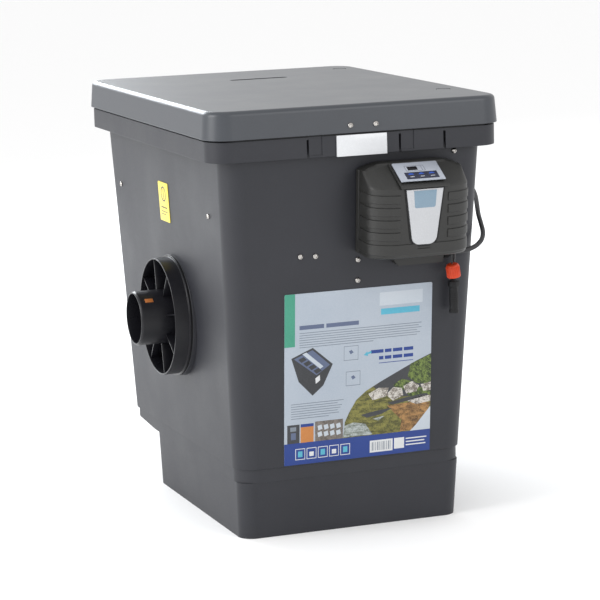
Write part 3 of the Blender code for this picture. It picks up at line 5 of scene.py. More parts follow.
import bmesh
import bpy
from mathutils import Matrix, Vector
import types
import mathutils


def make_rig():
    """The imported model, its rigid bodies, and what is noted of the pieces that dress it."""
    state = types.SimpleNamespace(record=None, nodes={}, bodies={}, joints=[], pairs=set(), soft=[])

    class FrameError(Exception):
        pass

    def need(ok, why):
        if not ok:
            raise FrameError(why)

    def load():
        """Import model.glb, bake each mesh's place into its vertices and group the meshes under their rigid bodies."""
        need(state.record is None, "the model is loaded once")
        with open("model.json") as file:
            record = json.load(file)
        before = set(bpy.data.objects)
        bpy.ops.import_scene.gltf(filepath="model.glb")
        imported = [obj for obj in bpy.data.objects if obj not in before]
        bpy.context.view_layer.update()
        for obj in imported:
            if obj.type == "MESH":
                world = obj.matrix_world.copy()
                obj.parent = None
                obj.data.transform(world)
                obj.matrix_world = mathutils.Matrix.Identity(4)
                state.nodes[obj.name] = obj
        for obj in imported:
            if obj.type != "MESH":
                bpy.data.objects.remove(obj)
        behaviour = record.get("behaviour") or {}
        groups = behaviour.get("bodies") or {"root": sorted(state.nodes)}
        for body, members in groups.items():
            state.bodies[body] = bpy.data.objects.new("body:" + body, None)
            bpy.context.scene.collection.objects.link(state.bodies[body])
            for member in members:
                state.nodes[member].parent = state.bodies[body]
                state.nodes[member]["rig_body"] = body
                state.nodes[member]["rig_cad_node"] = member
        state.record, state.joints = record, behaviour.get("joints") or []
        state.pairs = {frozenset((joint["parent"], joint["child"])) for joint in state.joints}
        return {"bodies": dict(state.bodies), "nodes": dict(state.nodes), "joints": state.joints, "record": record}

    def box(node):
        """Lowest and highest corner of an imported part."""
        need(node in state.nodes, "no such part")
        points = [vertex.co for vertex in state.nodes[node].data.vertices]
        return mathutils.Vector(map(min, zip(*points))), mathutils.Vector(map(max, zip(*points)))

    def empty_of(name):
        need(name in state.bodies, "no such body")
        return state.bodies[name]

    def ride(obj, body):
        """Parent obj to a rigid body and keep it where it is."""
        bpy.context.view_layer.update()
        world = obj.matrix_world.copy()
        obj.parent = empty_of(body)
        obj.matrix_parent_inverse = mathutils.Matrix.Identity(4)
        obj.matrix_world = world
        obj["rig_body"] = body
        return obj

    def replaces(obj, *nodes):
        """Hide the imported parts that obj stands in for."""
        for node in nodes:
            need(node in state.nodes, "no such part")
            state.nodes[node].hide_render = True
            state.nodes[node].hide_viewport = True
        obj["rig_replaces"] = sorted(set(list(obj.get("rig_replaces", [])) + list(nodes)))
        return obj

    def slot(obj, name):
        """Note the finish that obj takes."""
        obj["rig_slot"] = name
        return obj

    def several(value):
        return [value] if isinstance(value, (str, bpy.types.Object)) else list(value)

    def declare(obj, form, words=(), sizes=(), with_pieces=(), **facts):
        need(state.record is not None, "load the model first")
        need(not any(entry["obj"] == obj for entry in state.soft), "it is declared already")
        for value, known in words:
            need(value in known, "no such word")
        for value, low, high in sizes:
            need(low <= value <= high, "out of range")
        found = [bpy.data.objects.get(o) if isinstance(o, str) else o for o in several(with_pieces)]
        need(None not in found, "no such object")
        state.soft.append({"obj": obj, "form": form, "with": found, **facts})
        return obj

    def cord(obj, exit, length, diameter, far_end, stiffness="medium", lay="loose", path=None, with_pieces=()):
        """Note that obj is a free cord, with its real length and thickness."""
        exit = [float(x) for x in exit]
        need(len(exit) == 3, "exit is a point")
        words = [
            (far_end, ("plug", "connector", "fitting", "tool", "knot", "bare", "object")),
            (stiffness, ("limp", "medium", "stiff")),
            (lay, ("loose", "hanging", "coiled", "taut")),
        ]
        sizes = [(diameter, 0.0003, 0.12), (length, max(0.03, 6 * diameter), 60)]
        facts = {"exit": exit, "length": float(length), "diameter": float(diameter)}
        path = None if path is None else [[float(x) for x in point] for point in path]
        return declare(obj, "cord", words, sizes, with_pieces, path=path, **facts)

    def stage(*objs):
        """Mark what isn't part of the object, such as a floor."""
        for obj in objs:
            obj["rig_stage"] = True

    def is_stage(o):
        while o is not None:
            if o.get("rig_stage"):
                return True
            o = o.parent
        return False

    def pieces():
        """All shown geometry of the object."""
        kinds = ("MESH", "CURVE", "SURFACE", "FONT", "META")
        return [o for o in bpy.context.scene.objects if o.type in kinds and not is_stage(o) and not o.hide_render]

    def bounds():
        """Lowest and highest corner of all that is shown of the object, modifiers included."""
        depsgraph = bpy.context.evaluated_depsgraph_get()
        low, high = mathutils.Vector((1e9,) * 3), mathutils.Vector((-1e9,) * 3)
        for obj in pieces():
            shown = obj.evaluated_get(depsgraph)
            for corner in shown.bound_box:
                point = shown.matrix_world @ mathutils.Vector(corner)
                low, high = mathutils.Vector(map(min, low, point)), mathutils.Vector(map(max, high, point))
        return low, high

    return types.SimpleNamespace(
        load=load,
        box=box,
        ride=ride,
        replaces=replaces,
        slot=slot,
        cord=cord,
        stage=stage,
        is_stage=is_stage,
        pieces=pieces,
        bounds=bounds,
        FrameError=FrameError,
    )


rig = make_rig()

for leftover in list(bpy.data.objects):
    bpy.data.objects.remove(leftover, do_unlink=True)
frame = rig.load()
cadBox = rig.bounds()
print("frame loaded:", len(frame["nodes"]), "nodes")


def addObject(name, data):
    made = bpy.data.objects.new(name, data)
    bpy.context.scene.collection.objects.link(made)
    return made


def meshFrom(name, bm):
    mesh = bpy.data.meshes.new(name)
    bm.to_mesh(mesh)
    bm.free()
    return mesh


def turned(degrees, axis):
    return Matrix.Rotation(math.radians(degrees), 4, axis)


# ---- stage ----
studio = {
    "cameraAt": (-1.830, -4.969, 1.343),
    "yaw": 20.45,               # degrees to the right of +Y
    "pitch": 10.03,             # degrees downwards
    "roll": -1.55,
    "lens": 155.47,
    "floorSize": 60.0,
    "floorColour": (0.96, 0.96, 0.96, 1.0),
    "floorRoughness": 0.9,
    "worldStrength": 1.0,
    # place, aim, width and height, watts, colour
    "softboxes": {
        "leftSoftbox": ((-4.2, -0.6, 2.2), (-0.2, 0, 0.5), (2.6, 2.6), 125, (1, 1, 1)),
        "backSoftbox": ((-0.8, 4.6, 2.6), (0, 0, 0.8), (3.4, 1.6), 175, (0.90, 0.95, 1.0)),
        "frontSoftbox": ((2.2, -4.2, 2.4), (0, 0, 0.5), (2.4, 2.4), 45, (1, 1, 1)),
    },
}


def buildCamera():
    yaw, pitch, roll = (math.radians(studio[key]) for key in ("yaw", "pitch", "roll"))
    forward = Vector((math.sin(yaw) * math.cos(pitch), math.cos(yaw) * math.cos(pitch), -math.sin(pitch)))
    right = Vector((math.cos(yaw), -math.sin(yaw), 0))
    up = right.cross(forward)
    turnedRight = right * math.cos(roll) + up * math.sin(roll)
    turnedUp = up * math.cos(roll) - right * math.sin(roll)
    camera = addObject("camera", bpy.data.cameras.new("camera"))
    axes = Matrix((turnedRight, turnedUp, -forward)).transposed()
    camera.matrix_world = Matrix.Translation(studio["cameraAt"]) @ axes.to_4x4()
    camera.data.lens = studio["lens"]
    camera.data.sensor_width = 36
    camera.data.clip_end = 200
    bpy.context.scene.camera = camera


def buildFloor():
    bm = bmesh.new()
    bmesh.ops.create_grid(bm, x_segments=1, y_segments=1, size=studio["floorSize"] / 2)
    floor = addObject("floor", meshFrom("floor", bm))
    pale = bpy.data.materials.new("floor")
    pale.use_nodes = True
    shader = pale.node_tree.nodes["Principled BSDF"]
    shader.inputs["Base Color"].default_value = studio["floorColour"]
    shader.inputs["Roughness"].default_value = studio["floorRoughness"]
    floor.data.materials.append(pale)
    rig.stage(floor)


def buildLights():
    bpy.context.scene.view_settings.view_transform = "Standard"
    world = bpy.data.worlds.new("world")
    bpy.context.scene.world = world
    world.use_nodes = True
    world.node_tree.nodes["Background"].inputs["Color"].default_value = (1, 1, 1, 1)
    world.node_tree.nodes["Background"].inputs["Strength"].default_value = studio["worldStrength"]
    for name, (place, aim, size, watts, colour) in studio["softboxes"].items():
        light = bpy.data.lights.new(name, "AREA")
        light.shape = "RECTANGLE"
        light.size, light.size_y = size
        light.energy = watts
        light.color = colour
        lamp = addObject(name, light)
        lamp.location = place
        lamp.rotation_euler = (Vector(aim) - Vector(place)).to_track_quat("-Z", "Y").to_euler()


buildCamera()
buildFloor()
buildLights()
print("stage ready")


# ---- finishes ----
def nodeAdder(tree):
    def addNode(kind, inputs=(), **settings):
        node = tree.nodes.new(kind)
        for key, value in settings.items():
            setattr(node, key, value)
        for socket, value in inputs:
            if isinstance(value, bpy.types.NodeSocket):
                tree.links.new(value, node.inputs[socket])
            else:
                node.inputs[socket].default_value = value
        return node
    return addNode


def mappedCoordinates(addNode, stretch=(1, 1, 1)):
    coordinates = addNode("ShaderNodeTexCoord")
    inputs = [("Vector", coordinates.outputs["Object"]), ("Scale", stretch)]
    return addNode("ShaderNodeMapping", inputs).outputs["Vector"]


def finish(name, own):
    made = bpy.data.materials.new(name)
    made.use_nodes = True
    tree = made.node_tree
    shader = tree.nodes["Principled BSDF"]
    addNode = nodeAdder(tree)
    where = mappedCoordinates(addNode, own.get("stretch", (1, 1, 1)))

    def noise(scale, detail, roughness=0.5):
        return addNode("ShaderNodeTexNoise", [("Vector", where), ("Scale", scale), ("Detail", detail),
                                              ("Roughness", roughness)]).outputs["Fac"]

    clouds, fine = noise(own.get("cloudScale", 7.0), 4.0, 0.6), noise(own.get("fineScale", 420.0), 3.0, 0.65)
    both = addNode("ShaderNodeMath", [(0, clouds), (1, fine)], operation="ADD").outputs[0]
    spread = own.get("spread", 0.28)
    share = addNode("ShaderNodeMapRange", [("Value", both), ("From Min", 1 - spread),
                                           ("From Max", 1 + spread)])
    # sockets 6 and 7 of the mix take its two colours, and output 2 gives the result
    colour = addNode("ShaderNodeMix", [("Factor", share.outputs[0]), (6, (*own["colour"], 1)),
                                       (7, (*own["second"], 1))], data_type="RGBA")
    tree.links.new(colour.outputs[2], shader.inputs["Base Color"])
    low, high = own.get("rough", (0.34, 0.44))
    gloss = addNode("ShaderNodeMapRange", [("Value", both), ("From Min", 0.75), ("From Max", 1.25),
                                           ("To Min", low), ("To Max", high)])
    tree.links.new(gloss.outputs[0], shader.inputs["Roughness"])
    bump = addNode("ShaderNodeBump", [("Height", noise(own.get("grainScale", 1500.0), 2.0)),
                                      ("Strength", own.get("bump", 0.25)),
                                      ("Distance", own.get("grainDepth", 0.0002))])
    tree.links.new(bump.outputs[0], shader.inputs["Normal"])
    shader.inputs["Metallic"].default_value = own.get("metal", 0.0)
    shader.inputs["Coat Weight"].default_value = own.get("coat", 0.0)
    shader.inputs["Specular IOR Level"].default_value = own.get("specular", 0.5)
    return made


# a finish without a slot of its own is print on the label
finishes = {
    "bodyPlastic": {"slot": "body_plastic", "colour": (0.021, 0.022, 0.027),
                    "second": (0.027, 0.028, 0.034), "rough": (0.40, 0.50), "specular": 0.33,
                    "grainScale": 900.0, "grainDepth": 0.00025},
    "lidPlastic": {"slot": "lid_plastic", "colour": (0.038, 0.042, 0.050), "second": (0.045, 0.050, 0.059),
                   "rough": (0.33, 0.38), "grainScale": 700.0, "grainDepth": 0.0002},
    "housingPlastic": {"slot": "housing_plastic", "colour": (0.014, 0.014, 0.013),
                       "second": (0.019, 0.019, 0.018), "rough": (0.42, 0.54), "grainScale": 2200.0,
                       "grainDepth": 0.0002},
    "pipePlastic": {"slot": "pipe_plastic", "colour": (0.005, 0.005, 0.007),
                    "second": (0.009, 0.009, 0.012), "rough": (0.26, 0.36), "specular": 0.35,
                    "grainScale": 500.0},
    "blackRubber": {"slot": "black_rubber", "colour": (0.006, 0.006, 0.007),
                    "second": (0.011, 0.011, 0.012), "rough": (0.55, 0.70), "specular": 0.3,
                    "grainScale": 1100.0, "bump": 0.4},
    "cableSheath": {"slot": "cable_sheath", "colour": (0.016, 0.016, 0.018),
                    "second": (0.024, 0.024, 0.027), "rough": (0.44, 0.58), "grainScale": 900.0},
    "stainless": {"slot": "stainless_steel", "colour": (0.400, 0.380, 0.360),
                  "second": (0.520, 0.500, 0.480), "metal": 1.0, "rough": (0.16, 0.34),
                  "stretch": (1, 6, 6), "grainScale": 900.0},
    "silverLacquer": {"slot": "silver_panel", "colour": (0.360, 0.390, 0.450),
                      "second": (0.420, 0.450, 0.510), "metal": 0.3, "rough": (0.34, 0.42), "coat": 0.25,
                      "grainScale": 3000.0, "grainDepth": 0.0001},
    "whitePlastic": {"slot": "white_plastic", "colour": (0.600, 0.610, 0.630),
                     "second": (0.660, 0.670, 0.690), "coat": 0.4, "rough": (0.22, 0.30),
                     "grainScale": 300.0, "grainDepth": 0.0001},
    "bladePlastic": {"slot": "white_plastic", "colour": (0.43, 0.44, 0.46), "second": (0.48, 0.49, 0.51),
                     "coat": 0.4, "rough": (0.22, 0.30), "grainScale": 300.0, "grainDepth": 0.0001},
    "badgeGrey": {"slot": "badge_grey", "colour": (0.150, 0.235, 0.310), "second": (0.180, 0.265, 0.340),
                  "coat": 0.5, "rough": (0.18, 0.26), "grainScale": 300.0, "grainDepth": 0.0001},
    "keyBlue": {"slot": "key_blue", "colour": (0.010, 0.013, 0.034), "second": (0.016, 0.020, 0.046),
                "rough": (0.36, 0.46)},
    "markBlue": {"slot": "key_blue", "colour": (0.020, 0.075, 0.40), "second": (0.030, 0.095, 0.46),
                 "rough": (0.3, 0.4)},
    "displayGlass": {"slot": "display_glass", "colour": (0.004, 0.004, 0.006),
                     "second": (0.007, 0.007, 0.009), "specular": 0.15, "rough": (0.16, 0.22),
                     "bump": 0.02},
    "orangeCap": {"slot": "orange_cap", "colour": (0.520, 0.042, 0.010), "second": (0.600, 0.060, 0.015),
                  "rough": (0.32, 0.46), "specular": 0.3, "grainScale": 1400.0},
    "gateMark": {"slot": "orange_cap", "colour": (0.36, 0.115, 0.025), "second": (0.44, 0.150, 0.040),
                 "rough": (0.4, 0.5), "specular": 0.3},
    "yellowFilm": {"slot": "yellow_label", "colour": (0.700, 0.550, 0.055), "second": (0.760, 0.620, 0.090),
                   "rough": (0.38, 0.48)},
    "blackPrint": {"slot": "yellow_label", "colour": (0.02, 0.02, 0.02), "second": (0.035, 0.035, 0.035),
                   "rough": (0.4, 0.5)},
    "drumPlastic": {"slot": "drum_plastic", "colour": (0.62, 0.63, 0.64), "second": (0.70, 0.71, 0.72),
                    "rough": (0.34, 0.46)},
    "filterFoam": {"slot": "filter_foam", "colour": (0.012, 0.030, 0.075), "second": (0.045, 0.080, 0.150),
                   "rough": (0.90, 1.0), "fineScale": 260.0, "grainScale": 340.0, "bump": 1.0,
                   "grainDepth": 0.003},
    "greenBoard": {"slot": "circuit_board", "colour": (0.010, 0.090, 0.035),
                   "second": (0.020, 0.130, 0.050), "rough": (0.35, 0.5), "grainScale": 500.0},
    "labelGround": {"colour": (0.313, 0.360, 0.422), "second": (0.367, 0.408, 0.462), "coat": 0.2,
                    "grainDepth": 0.0001},
    "printGreen": {"colour": (0.037, 0.245, 0.163), "second": (0.051, 0.286, 0.190)},
    "printCyan": {"colour": (0.061, 0.320, 0.449), "second": (0.082, 0.360, 0.476)},
    "printGrey": {"colour": (0.150, 0.177, 0.211), "second": (0.184, 0.211, 0.245)},
    "printPale": {"colour": (0.408, 0.456, 0.510), "second": (0.462, 0.496, 0.537)},
    "printBlue": {"colour": (0.005, 0.029, 0.177), "second": (0.007, 0.036, 0.208)},
    "printDark": {"colour": (0.020, 0.022, 0.026), "second": (0.041, 0.043, 0.048)},
    "printOrange": {"colour": (0.422, 0.150, 0.031), "second": (0.476, 0.190, 0.048)},
    "printBrown": {"colour": (0.058, 0.048, 0.041), "second": (0.204, 0.177, 0.156), "cloudScale": 120.0},
    "printSlate": {"colour": (0.078, 0.102, 0.177), "second": (0.095, 0.122, 0.204)},
    "printWhite": {"colour": (0.544, 0.558, 0.571), "second": (0.585, 0.592, 0.598)},
    "pondLeaves": {"colour": (0.014, 0.027, 0.005), "second": (0.136, 0.190, 0.037), "cloudScale": 110.0,
                   "spread": 0.10},
    "pondRocks": {"colour": (0.136, 0.116, 0.095), "second": (0.544, 0.517, 0.476), "cloudScale": 90.0,
                  "spread": 0.10},
    "pondWater": {"colour": (0.041, 0.042, 0.007), "second": (0.204, 0.190, 0.041), "cloudScale": 60.0,
                  "stretch": (1, 2, 2), "spread": 0.14},
    "pondBank": {"colour": (0.082, 0.041, 0.012), "second": (0.340, 0.184, 0.061), "cloudScale": 70.0,
                 "stretch": (1, 2, 2), "spread": 0.12},
    "pondShine": {"colour": (0.109, 0.129, 0.102), "second": (0.394, 0.428, 0.422), "cloudScale": 70.0,
                  "stretch": (1, 3, 3), "spread": 0.14},
}


def screenFinish():
    made = finish("steelScreen", {"colour": (0.42, 0.43, 0.44), "second": (0.55, 0.56, 0.57),
                                  "metal": 0.9, "rough": (0.34, 0.5)})
    tree = made.node_tree
    addNode = nodeAdder(tree)
    where = mappedCoordinates(addNode)
    waves = [addNode("ShaderNodeTexWave", [("Vector", where), ("Scale", 260.0)], bands_direction=way)
             for way in ("Y", "Z")]
    weave = addNode("ShaderNodeMath", [(0, waves[0].outputs["Fac"]), (1, waves[1].outputs["Fac"])],
                    operation="MAXIMUM")
    bump = addNode("ShaderNodeBump", [("Height", weave.outputs[0]), ("Strength", 0.8),
                                      ("Distance", 0.0006)])
    tree.links.new(bump.outputs[0], tree.nodes["Principled BSDF"].inputs["Normal"])
    return made


look = {name: finish(name, own) for name, own in finishes.items()}
slotOf = {name: own.get("slot", "printed_label") for name, own in finishes.items()}
look["steelScreen"], slotOf["steelScreen"] = screenFinish(), "steel_screen"
print("finishes ready:", len(look))

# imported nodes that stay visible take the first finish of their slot
slotFinish = {slot: name for name, slot in reversed(slotOf.items())}
for entry in frame["record"]["subparts"]:
    node = frame["nodes"][entry["node"]]
    node.data.materials.clear()
    node.data.materials.append(look[slotFinish.get(entry["material_slot"], "bodyPlastic")])


# ---- making pieces ----
smoothAngle = 32        # degrees, past which an edge is shaded sharp


def shadeMesh(mesh, angle):
    mesh.shade_smooth()
    mesh.set_sharp_from_angle(angle=math.radians(angle))


def makePiece(name, bm, finishNames, body="tank", replaces=(), place=None, sharpFrom=smoothAngle):
    if place is not None:
        bmesh.ops.transform(bm, matrix=place, verts=bm.verts)
    mesh = meshFrom(name, bm)
    names = [finishNames] if isinstance(finishNames, str) else finishNames
    for finishName in names:
        mesh.materials.append(look[finishName])
    shadeMesh(mesh, sharpFrom)
    piece = addObject(name, mesh)
    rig.ride(piece, body)
    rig.slot(piece, slotOf[names[0]])
    if replaces:
        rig.replaces(piece, *replaces)
    return piece


def softCorners(points, radius, steps=3):
    # rounds every corner of a closed outline, except those on the axis
    soft = []
    for i, corner in enumerate(points):
        corner = Vector(corner)
        toLast = Vector(points[i - 1]) - corner
        toNext = Vector(points[(i + 1) % len(points)]) - corner
        if abs(corner.x) < 1e-6:
            soft.append(corner)
            continue
        cut = min(radius, toLast.length * 0.45, toNext.length * 0.45)
        start, end = corner + toLast.normalized() * cut, corner + toNext.normalized() * cut
        for step in range(steps + 1):
            t = step / steps
            soft.append(start * (1 - t) ** 2 + corner * 2 * t * (1 - t) + end * t * t)
    return soft


def spunShape(profile, radius=0.0008, steps=64):
    # (radius, height) outline turned about Z
    bm = bmesh.new()
    outline = softCorners(profile, radius)
    verts = [bm.verts.new((x, 0, z)) for x, z in outline]
    edges = [bm.edges.new((verts[i - 1], verts[i])) for i in range(len(verts))
             if verts[i - 1].co.x > 1e-6 or verts[i].co.x > 1e-6]
    bmesh.ops.spin(bm, geom=verts + edges, cent=(0, 0, 0), axis=(0, 0, 1), angle=math.tau,
                   steps=steps, use_merge=True)
    bmesh.ops.remove_doubles(bm, verts=bm.verts, dist=0.000005)
    bmesh.ops.recalc_face_normals(bm, faces=bm.faces)
    return bm


def bevelEdges(bm, edges, offset, segments=2):
    bmesh.ops.bevel(bm, geom=edges, affect="EDGES", offset=offset, segments=segments, profile=0.5,
                    material=-1, clamp_overlap=True)


def addBox(bm, low, high, radius=0.0006, finishIndex=0, place=None):
    low, high = Vector(low), Vector(high)
    verts = bmesh.ops.create_cube(bm, size=1)["verts"]
    bmesh.ops.scale(bm, verts=verts, vec=high - low)
    bmesh.ops.translate(bm, verts=verts, vec=(low + high) / 2)
    if place is not None:
        bmesh.ops.transform(bm, matrix=place, verts=verts)
    for face in {face for vert in verts for face in vert.link_faces}:
        face.material_index = finishIndex
    bevelEdges(bm, list({edge for vert in verts for edge in vert.link_edges}), radius)


def addPlate(bm, outline, top, thickness, radius=0.0006, finishIndex=0, dome=0.0):
    # flat outline in the XY plane, its upper face at z=top, upper rim rounded; a dome rises above it
    verts = [bm.verts.new((x, y, top - thickness)) for x, y in outline]
    face = bm.faces.new(verts)
    face.normal_update()
    if face.normal.z < 0:
        face.normal_flip()
    face.material_index = finishIndex
    raised = bmesh.ops.extrude_face_region(bm, geom=[face])["geom"]
    cap = next(item for item in raised if isinstance(item, bmesh.types.BMFace))
    bmesh.ops.translate(bm, verts=cap.verts, vec=(0, 0, thickness))
    rim = list(cap.edges)
    sides = {other for edge in rim for other in edge.link_faces}
    for side in sides:
        side.material_index = finishIndex
    bevelEdges(bm, rim, radius, 3)
    if dome:
        upper = max((f for f in bm.faces if all(abs(v.co.z - top) < 1e-6 for v in f.verts)),
                    key=lambda f: f.calc_area())
        for share in (0.5, 0.3, 0.2):
            bmesh.ops.inset_region(bm, faces=[upper], thickness=dome * 8 * share, depth=dome * share,
                                   use_even_offset=True)


def arc(centre, radius, start, end, steps):
    angles = [math.radians(start + (end - start) * i / steps) for i in range(steps + 1)]
    return [(centre[0] + radius * math.cos(angle), centre[1] + radius * math.sin(angle)) for angle in angles]


def roundedOutline(x0, y0, x1, y1, radius, steps=5):
    return (arc((x0 + radius, y0 + radius), radius, 180, 270, steps)
            + arc((x1 - radius, y0 + radius), radius, 270, 360, steps)
            + arc((x1 - radius, y1 - radius), radius, 0, 90, steps)
            + arc((x0 + radius, y1 - radius), radius, 90, 180, steps))


def startSlab(level, kneeAt, cornerSteps=9):
    # one rounded rectangle with a side point at the knee; the shell grows from it
    bm = bmesh.new()
    height, half, front, back, radius = level
    bmesh.ops.create_grid(bm, x_segments=1, y_segments=1, size=1)
    for vert in bm.verts:
        vert.co = (half if vert.co.x > 0 else -half, back if vert.co.y > 0 else front, height)
    bmesh.ops.bevel(bm, geom=list(bm.verts), affect="VERTICES", offset=radius, segments=cornerSteps,
                    profile=0.5, material=-1)
    sides = [edge for edge in bm.edges
             if abs(edge.verts[0].co.x - edge.verts[1].co.x) < 1e-6 and edge.calc_length() > 2 * radius]
    for item in bmesh.ops.bisect_edges(bm, edges=sides, cuts=1)["geom_split"]:
        if isinstance(item, bmesh.types.BMVert):
            item.co.y = kneeAt
    return bm, next(iter(bm.faces))


def growSlab(bm, face, was, now, kneeAt, slope):
    # extrudes the open end of a shell to its next level and returns the new end face
    raised = bmesh.ops.extrude_face_region(bm, geom=[face])["geom"]
    if face.is_valid and any(len(edge.link_faces) > 2 for edge in face.edges):
        bm.faces.remove(face)
    end = next(item for item in raised if isinstance(item, bmesh.types.BMFace))
    half0, front0, back0, radius0 = was[1:]
    height, half1, front1, back1, radius1 = now
    for vert in end.verts:
        x, y = vert.co.x, vert.co.y
        side = 1 if x > 0 else -1
        newX = side * (half1 - radius1) + (x - side * (half0 - radius0)) * radius1 / radius0
        if y < front0 + radius0 + 1e-6:
            newY = front1 + radius1 + (y - front0 - radius0) * radius1 / radius0
        elif y > back0 - radius0 - 1e-6:
            newY = back1 - radius1 + (y - back0 + radius0) * radius1 / radius0
        else:
            newX, newY = side * half1, kneeAt
        vert.co = (newX, newY, height + max(0.0, newY - kneeAt) * slope)
    return end


def slabShell(levels):
    # level, where its side points stand, and the rise of its floor behind them
    (was, knee, slope), *others = levels
    bm, end = startSlab(was, knee)
    for now, knee, slope in others:
        end = growSlab(bm, end, was, now, knee, slope)
        was = now
    bmesh.ops.recalc_face_normals(bm, faces=bm.faces)
    return bm


def bevelHard(bm, offset, low=-1.0, high=9.0, angle=30):
    # rounds the edges between two heights that turn by more than the angle
    edges = [edge for edge in bm.edges if len(edge.link_faces) == 2
             and edge.calc_face_angle() > math.radians(angle)
             and low <= min(v.co.z for v in edge.verts) and max(v.co.z for v in edge.verts) <= high]
    bevelEdges(bm, edges, offset)


def cutPiece(piece, cutter):
    # subtracts a bmesh of closed shapes and keeps the result as the piece's own mesh
    tool = addObject("cutter", meshFrom("cutter", cutter))
    step = piece.modifiers.new("cut", "BOOLEAN")
    step.object = tool
    step.solver = "EXACT"
    graph = bpy.context.evaluated_depsgraph_get()
    piece.data = bpy.data.meshes.new_from_object(piece.evaluated_get(graph))
    piece.modifiers.clear()
    bpy.data.objects.remove(tool)
    shadeMesh(piece.data, smoothAngle)


def evenShading(piece):
    # large flat faces keep their own normals beside rounded edges
    step = piece.modifiers.new("evenShading", "WEIGHTED_NORMAL")
    step.mode = "FACE_AREA"
    step.weight = 100
    step.keep_sharp = True


def addCylinder(bm, radius, length, place, steps=48):
    made = bmesh.ops.create_cone(bm, cap_ends=True, segments=steps, radius1=radius, radius2=radius,
                                 depth=length)["verts"]
    bmesh.ops.transform(bm, matrix=place, verts=made)


turns = {"-X": turned(-90, "Y"), "+X": turned(90, "Y"), "+Y": turned(-90, "X")}     # local +Z to an axis


def middleOf(node):
    low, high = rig.box(node)
    return (low + high) / 2


def onWall(node, axis, wallAt):
    # frame over the node's middle at the wall, its Z along the axis
    spot = middleOf(node)
    spot["XY".index(axis[1])] = wallAt
    return Matrix.Translation(spot) @ turns[axis]


def leanOf(node, thickness, across):
    # tilt of a thin sheet that leans with the wall, from its box: (angle, height along the wall)
    low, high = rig.box(node)
    run, rise = high[across] - low[across], high.z - low.z
    along = math.sqrt(run ** 2 + rise ** 2 - thickness ** 2)
    return math.atan2(run, rise) - math.atan2(thickness, along), along


labelThickness = 0.001
frontLean = leanOf("picture_label", labelThickness, 1)[0]
labelLow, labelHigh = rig.box("picture_label")
# local frame of the front wall at the label's foot: X right, -Y out of the wall, Z up the wall
labelFrame = (Matrix.Translation((labelLow.x, labelHigh.y, labelLow.z + labelThickness * math.sin(frontLean)))
              @ Matrix.Rotation(frontLean, 4, "X"))
controller = {"backDepth": 0.0124, "backStart": 0.0056, "low": -0.078}
backLow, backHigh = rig.box("controller_back")
# the controller's own frame, X right, -Y out of the wall, Z up the wall, from its middle
controllerFrame = (Matrix.Translation(((backLow.x + backHigh.x) / 2, backHigh.y,
                                       backLow.z + controller["backDepth"] * math.sin(frontLean)))
                   @ Matrix.Rotation(frontLean, 4, "X")
                   @ Matrix.Translation((0, controller["backStart"], -controller["low"])))
upright = turned(90, "X")       # a plate drawn in XY stands up and faces out of the wall


# ---- cords ----
cords = {
    "controllerLead": {
        "diameter": 0.0095,
        "route": ((0.1830, -0.38463, 0.54481), (0.2010, -0.38463, 0.54481), (0.2190, -0.3860, 0.5458),
                  (0.2370, -0.3872, 0.5490), (0.2540, -0.3835, 0.5550), (0.2700, -0.3710, 0.5640),
                  (0.2810, -0.3520, 0.5750), (0.2880, -0.3280, 0.5880), (0.2960, -0.2990, 0.6020),
                  (0.3080, -0.2660, 0.6170), (0.3210, -0.2310, 0.6290), (0.3310, -0.1960, 0.6370),
                  (0.3350, -0.1640, 0.6400), (0.3290, -0.1370, 0.6400), (0.3110, -0.1225, 0.6400),
                  (0.2850, -0.1200, 0.6400), (0.2570, -0.1200, 0.6400)),
        "node": "controller_lead", "farEnd": "object", "stiffness": "medium", "lay": "loose"},
    "connectorLead": {
        "diameter": 0.006,
        "route": ((0.1965, -0.4010, 0.5590), (0.1968, -0.4005, 0.5490), (0.1990, -0.3945, 0.5360),
                  (0.2012, -0.3868, 0.5230), (0.2005, -0.3872, 0.5120), (0.2000, -0.3880, 0.5020),
                  (0.2000, -0.3880, 0.4950)),
        "node": "connector_lead", "farEnd": "connector", "stiffness": "medium", "lay": "hanging"},
    "capStrap": {
        "diameter": 0.0028,
        "route": ((0.1855, -0.4130, 0.5585), (0.1856, -0.4125, 0.5480), (0.1868, -0.4105, 0.5380),
                  (0.1880, -0.4095, 0.5265)),
        "node": "cap_strap", "farEnd": "fitting", "stiffness": "medium", "lay": "hanging"},
}


def smoothRoute(points, stepsBetween=8):
    # a smooth curve through all the points
    points = [Vector(point) for point in points]
    ends = [points[0] * 2 - points[1]] + points + [points[-1] * 2 - points[-2]]
    dense = []
    for before, start, end, after in zip(ends, ends[1:], ends[2:], ends[3:]):
        for step in range(stepsBetween):
            t = step / stepsBetween
            dense.append(0.5 * (2 * start + (end - before) * t
                                + (2 * before - 5 * start + 4 * end - after) * t * t
                                + (3 * start - before - 3 * end + after) * t ** 3))
    return dense + [points[-1]]


def layCord(name, facts):
    route = smoothRoute(facts["route"])
    curve = bpy.data.curves.new(name, "CURVE")
    curve.dimensions = "3D"
    curve.bevel_depth = facts["diameter"] / 2
    curve.bevel_resolution = 5
    curve.use_fill_caps = True
    spline = curve.splines.new("POLY")
    spline.points.add(len(route) - 1)
    for point, spot in zip(spline.points, route):
        point.co = (*spot, 1)
    spline.use_smooth = True
    curve.materials.append(look["cableSheath"])
    piece = addObject(name, curve)
    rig.ride(piece, "tank")
    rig.slot(piece, "cable_sheath")
    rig.replaces(piece, facts["node"])
    length = sum((there - here).length for here, there in zip(route, route[1:]))
    return piece, round(length, 3)


laid = {name: layCord(name, facts) for name, facts in cords.items()}
print("cords laid:", {name: length for name, (piece, length) in laid.items()})


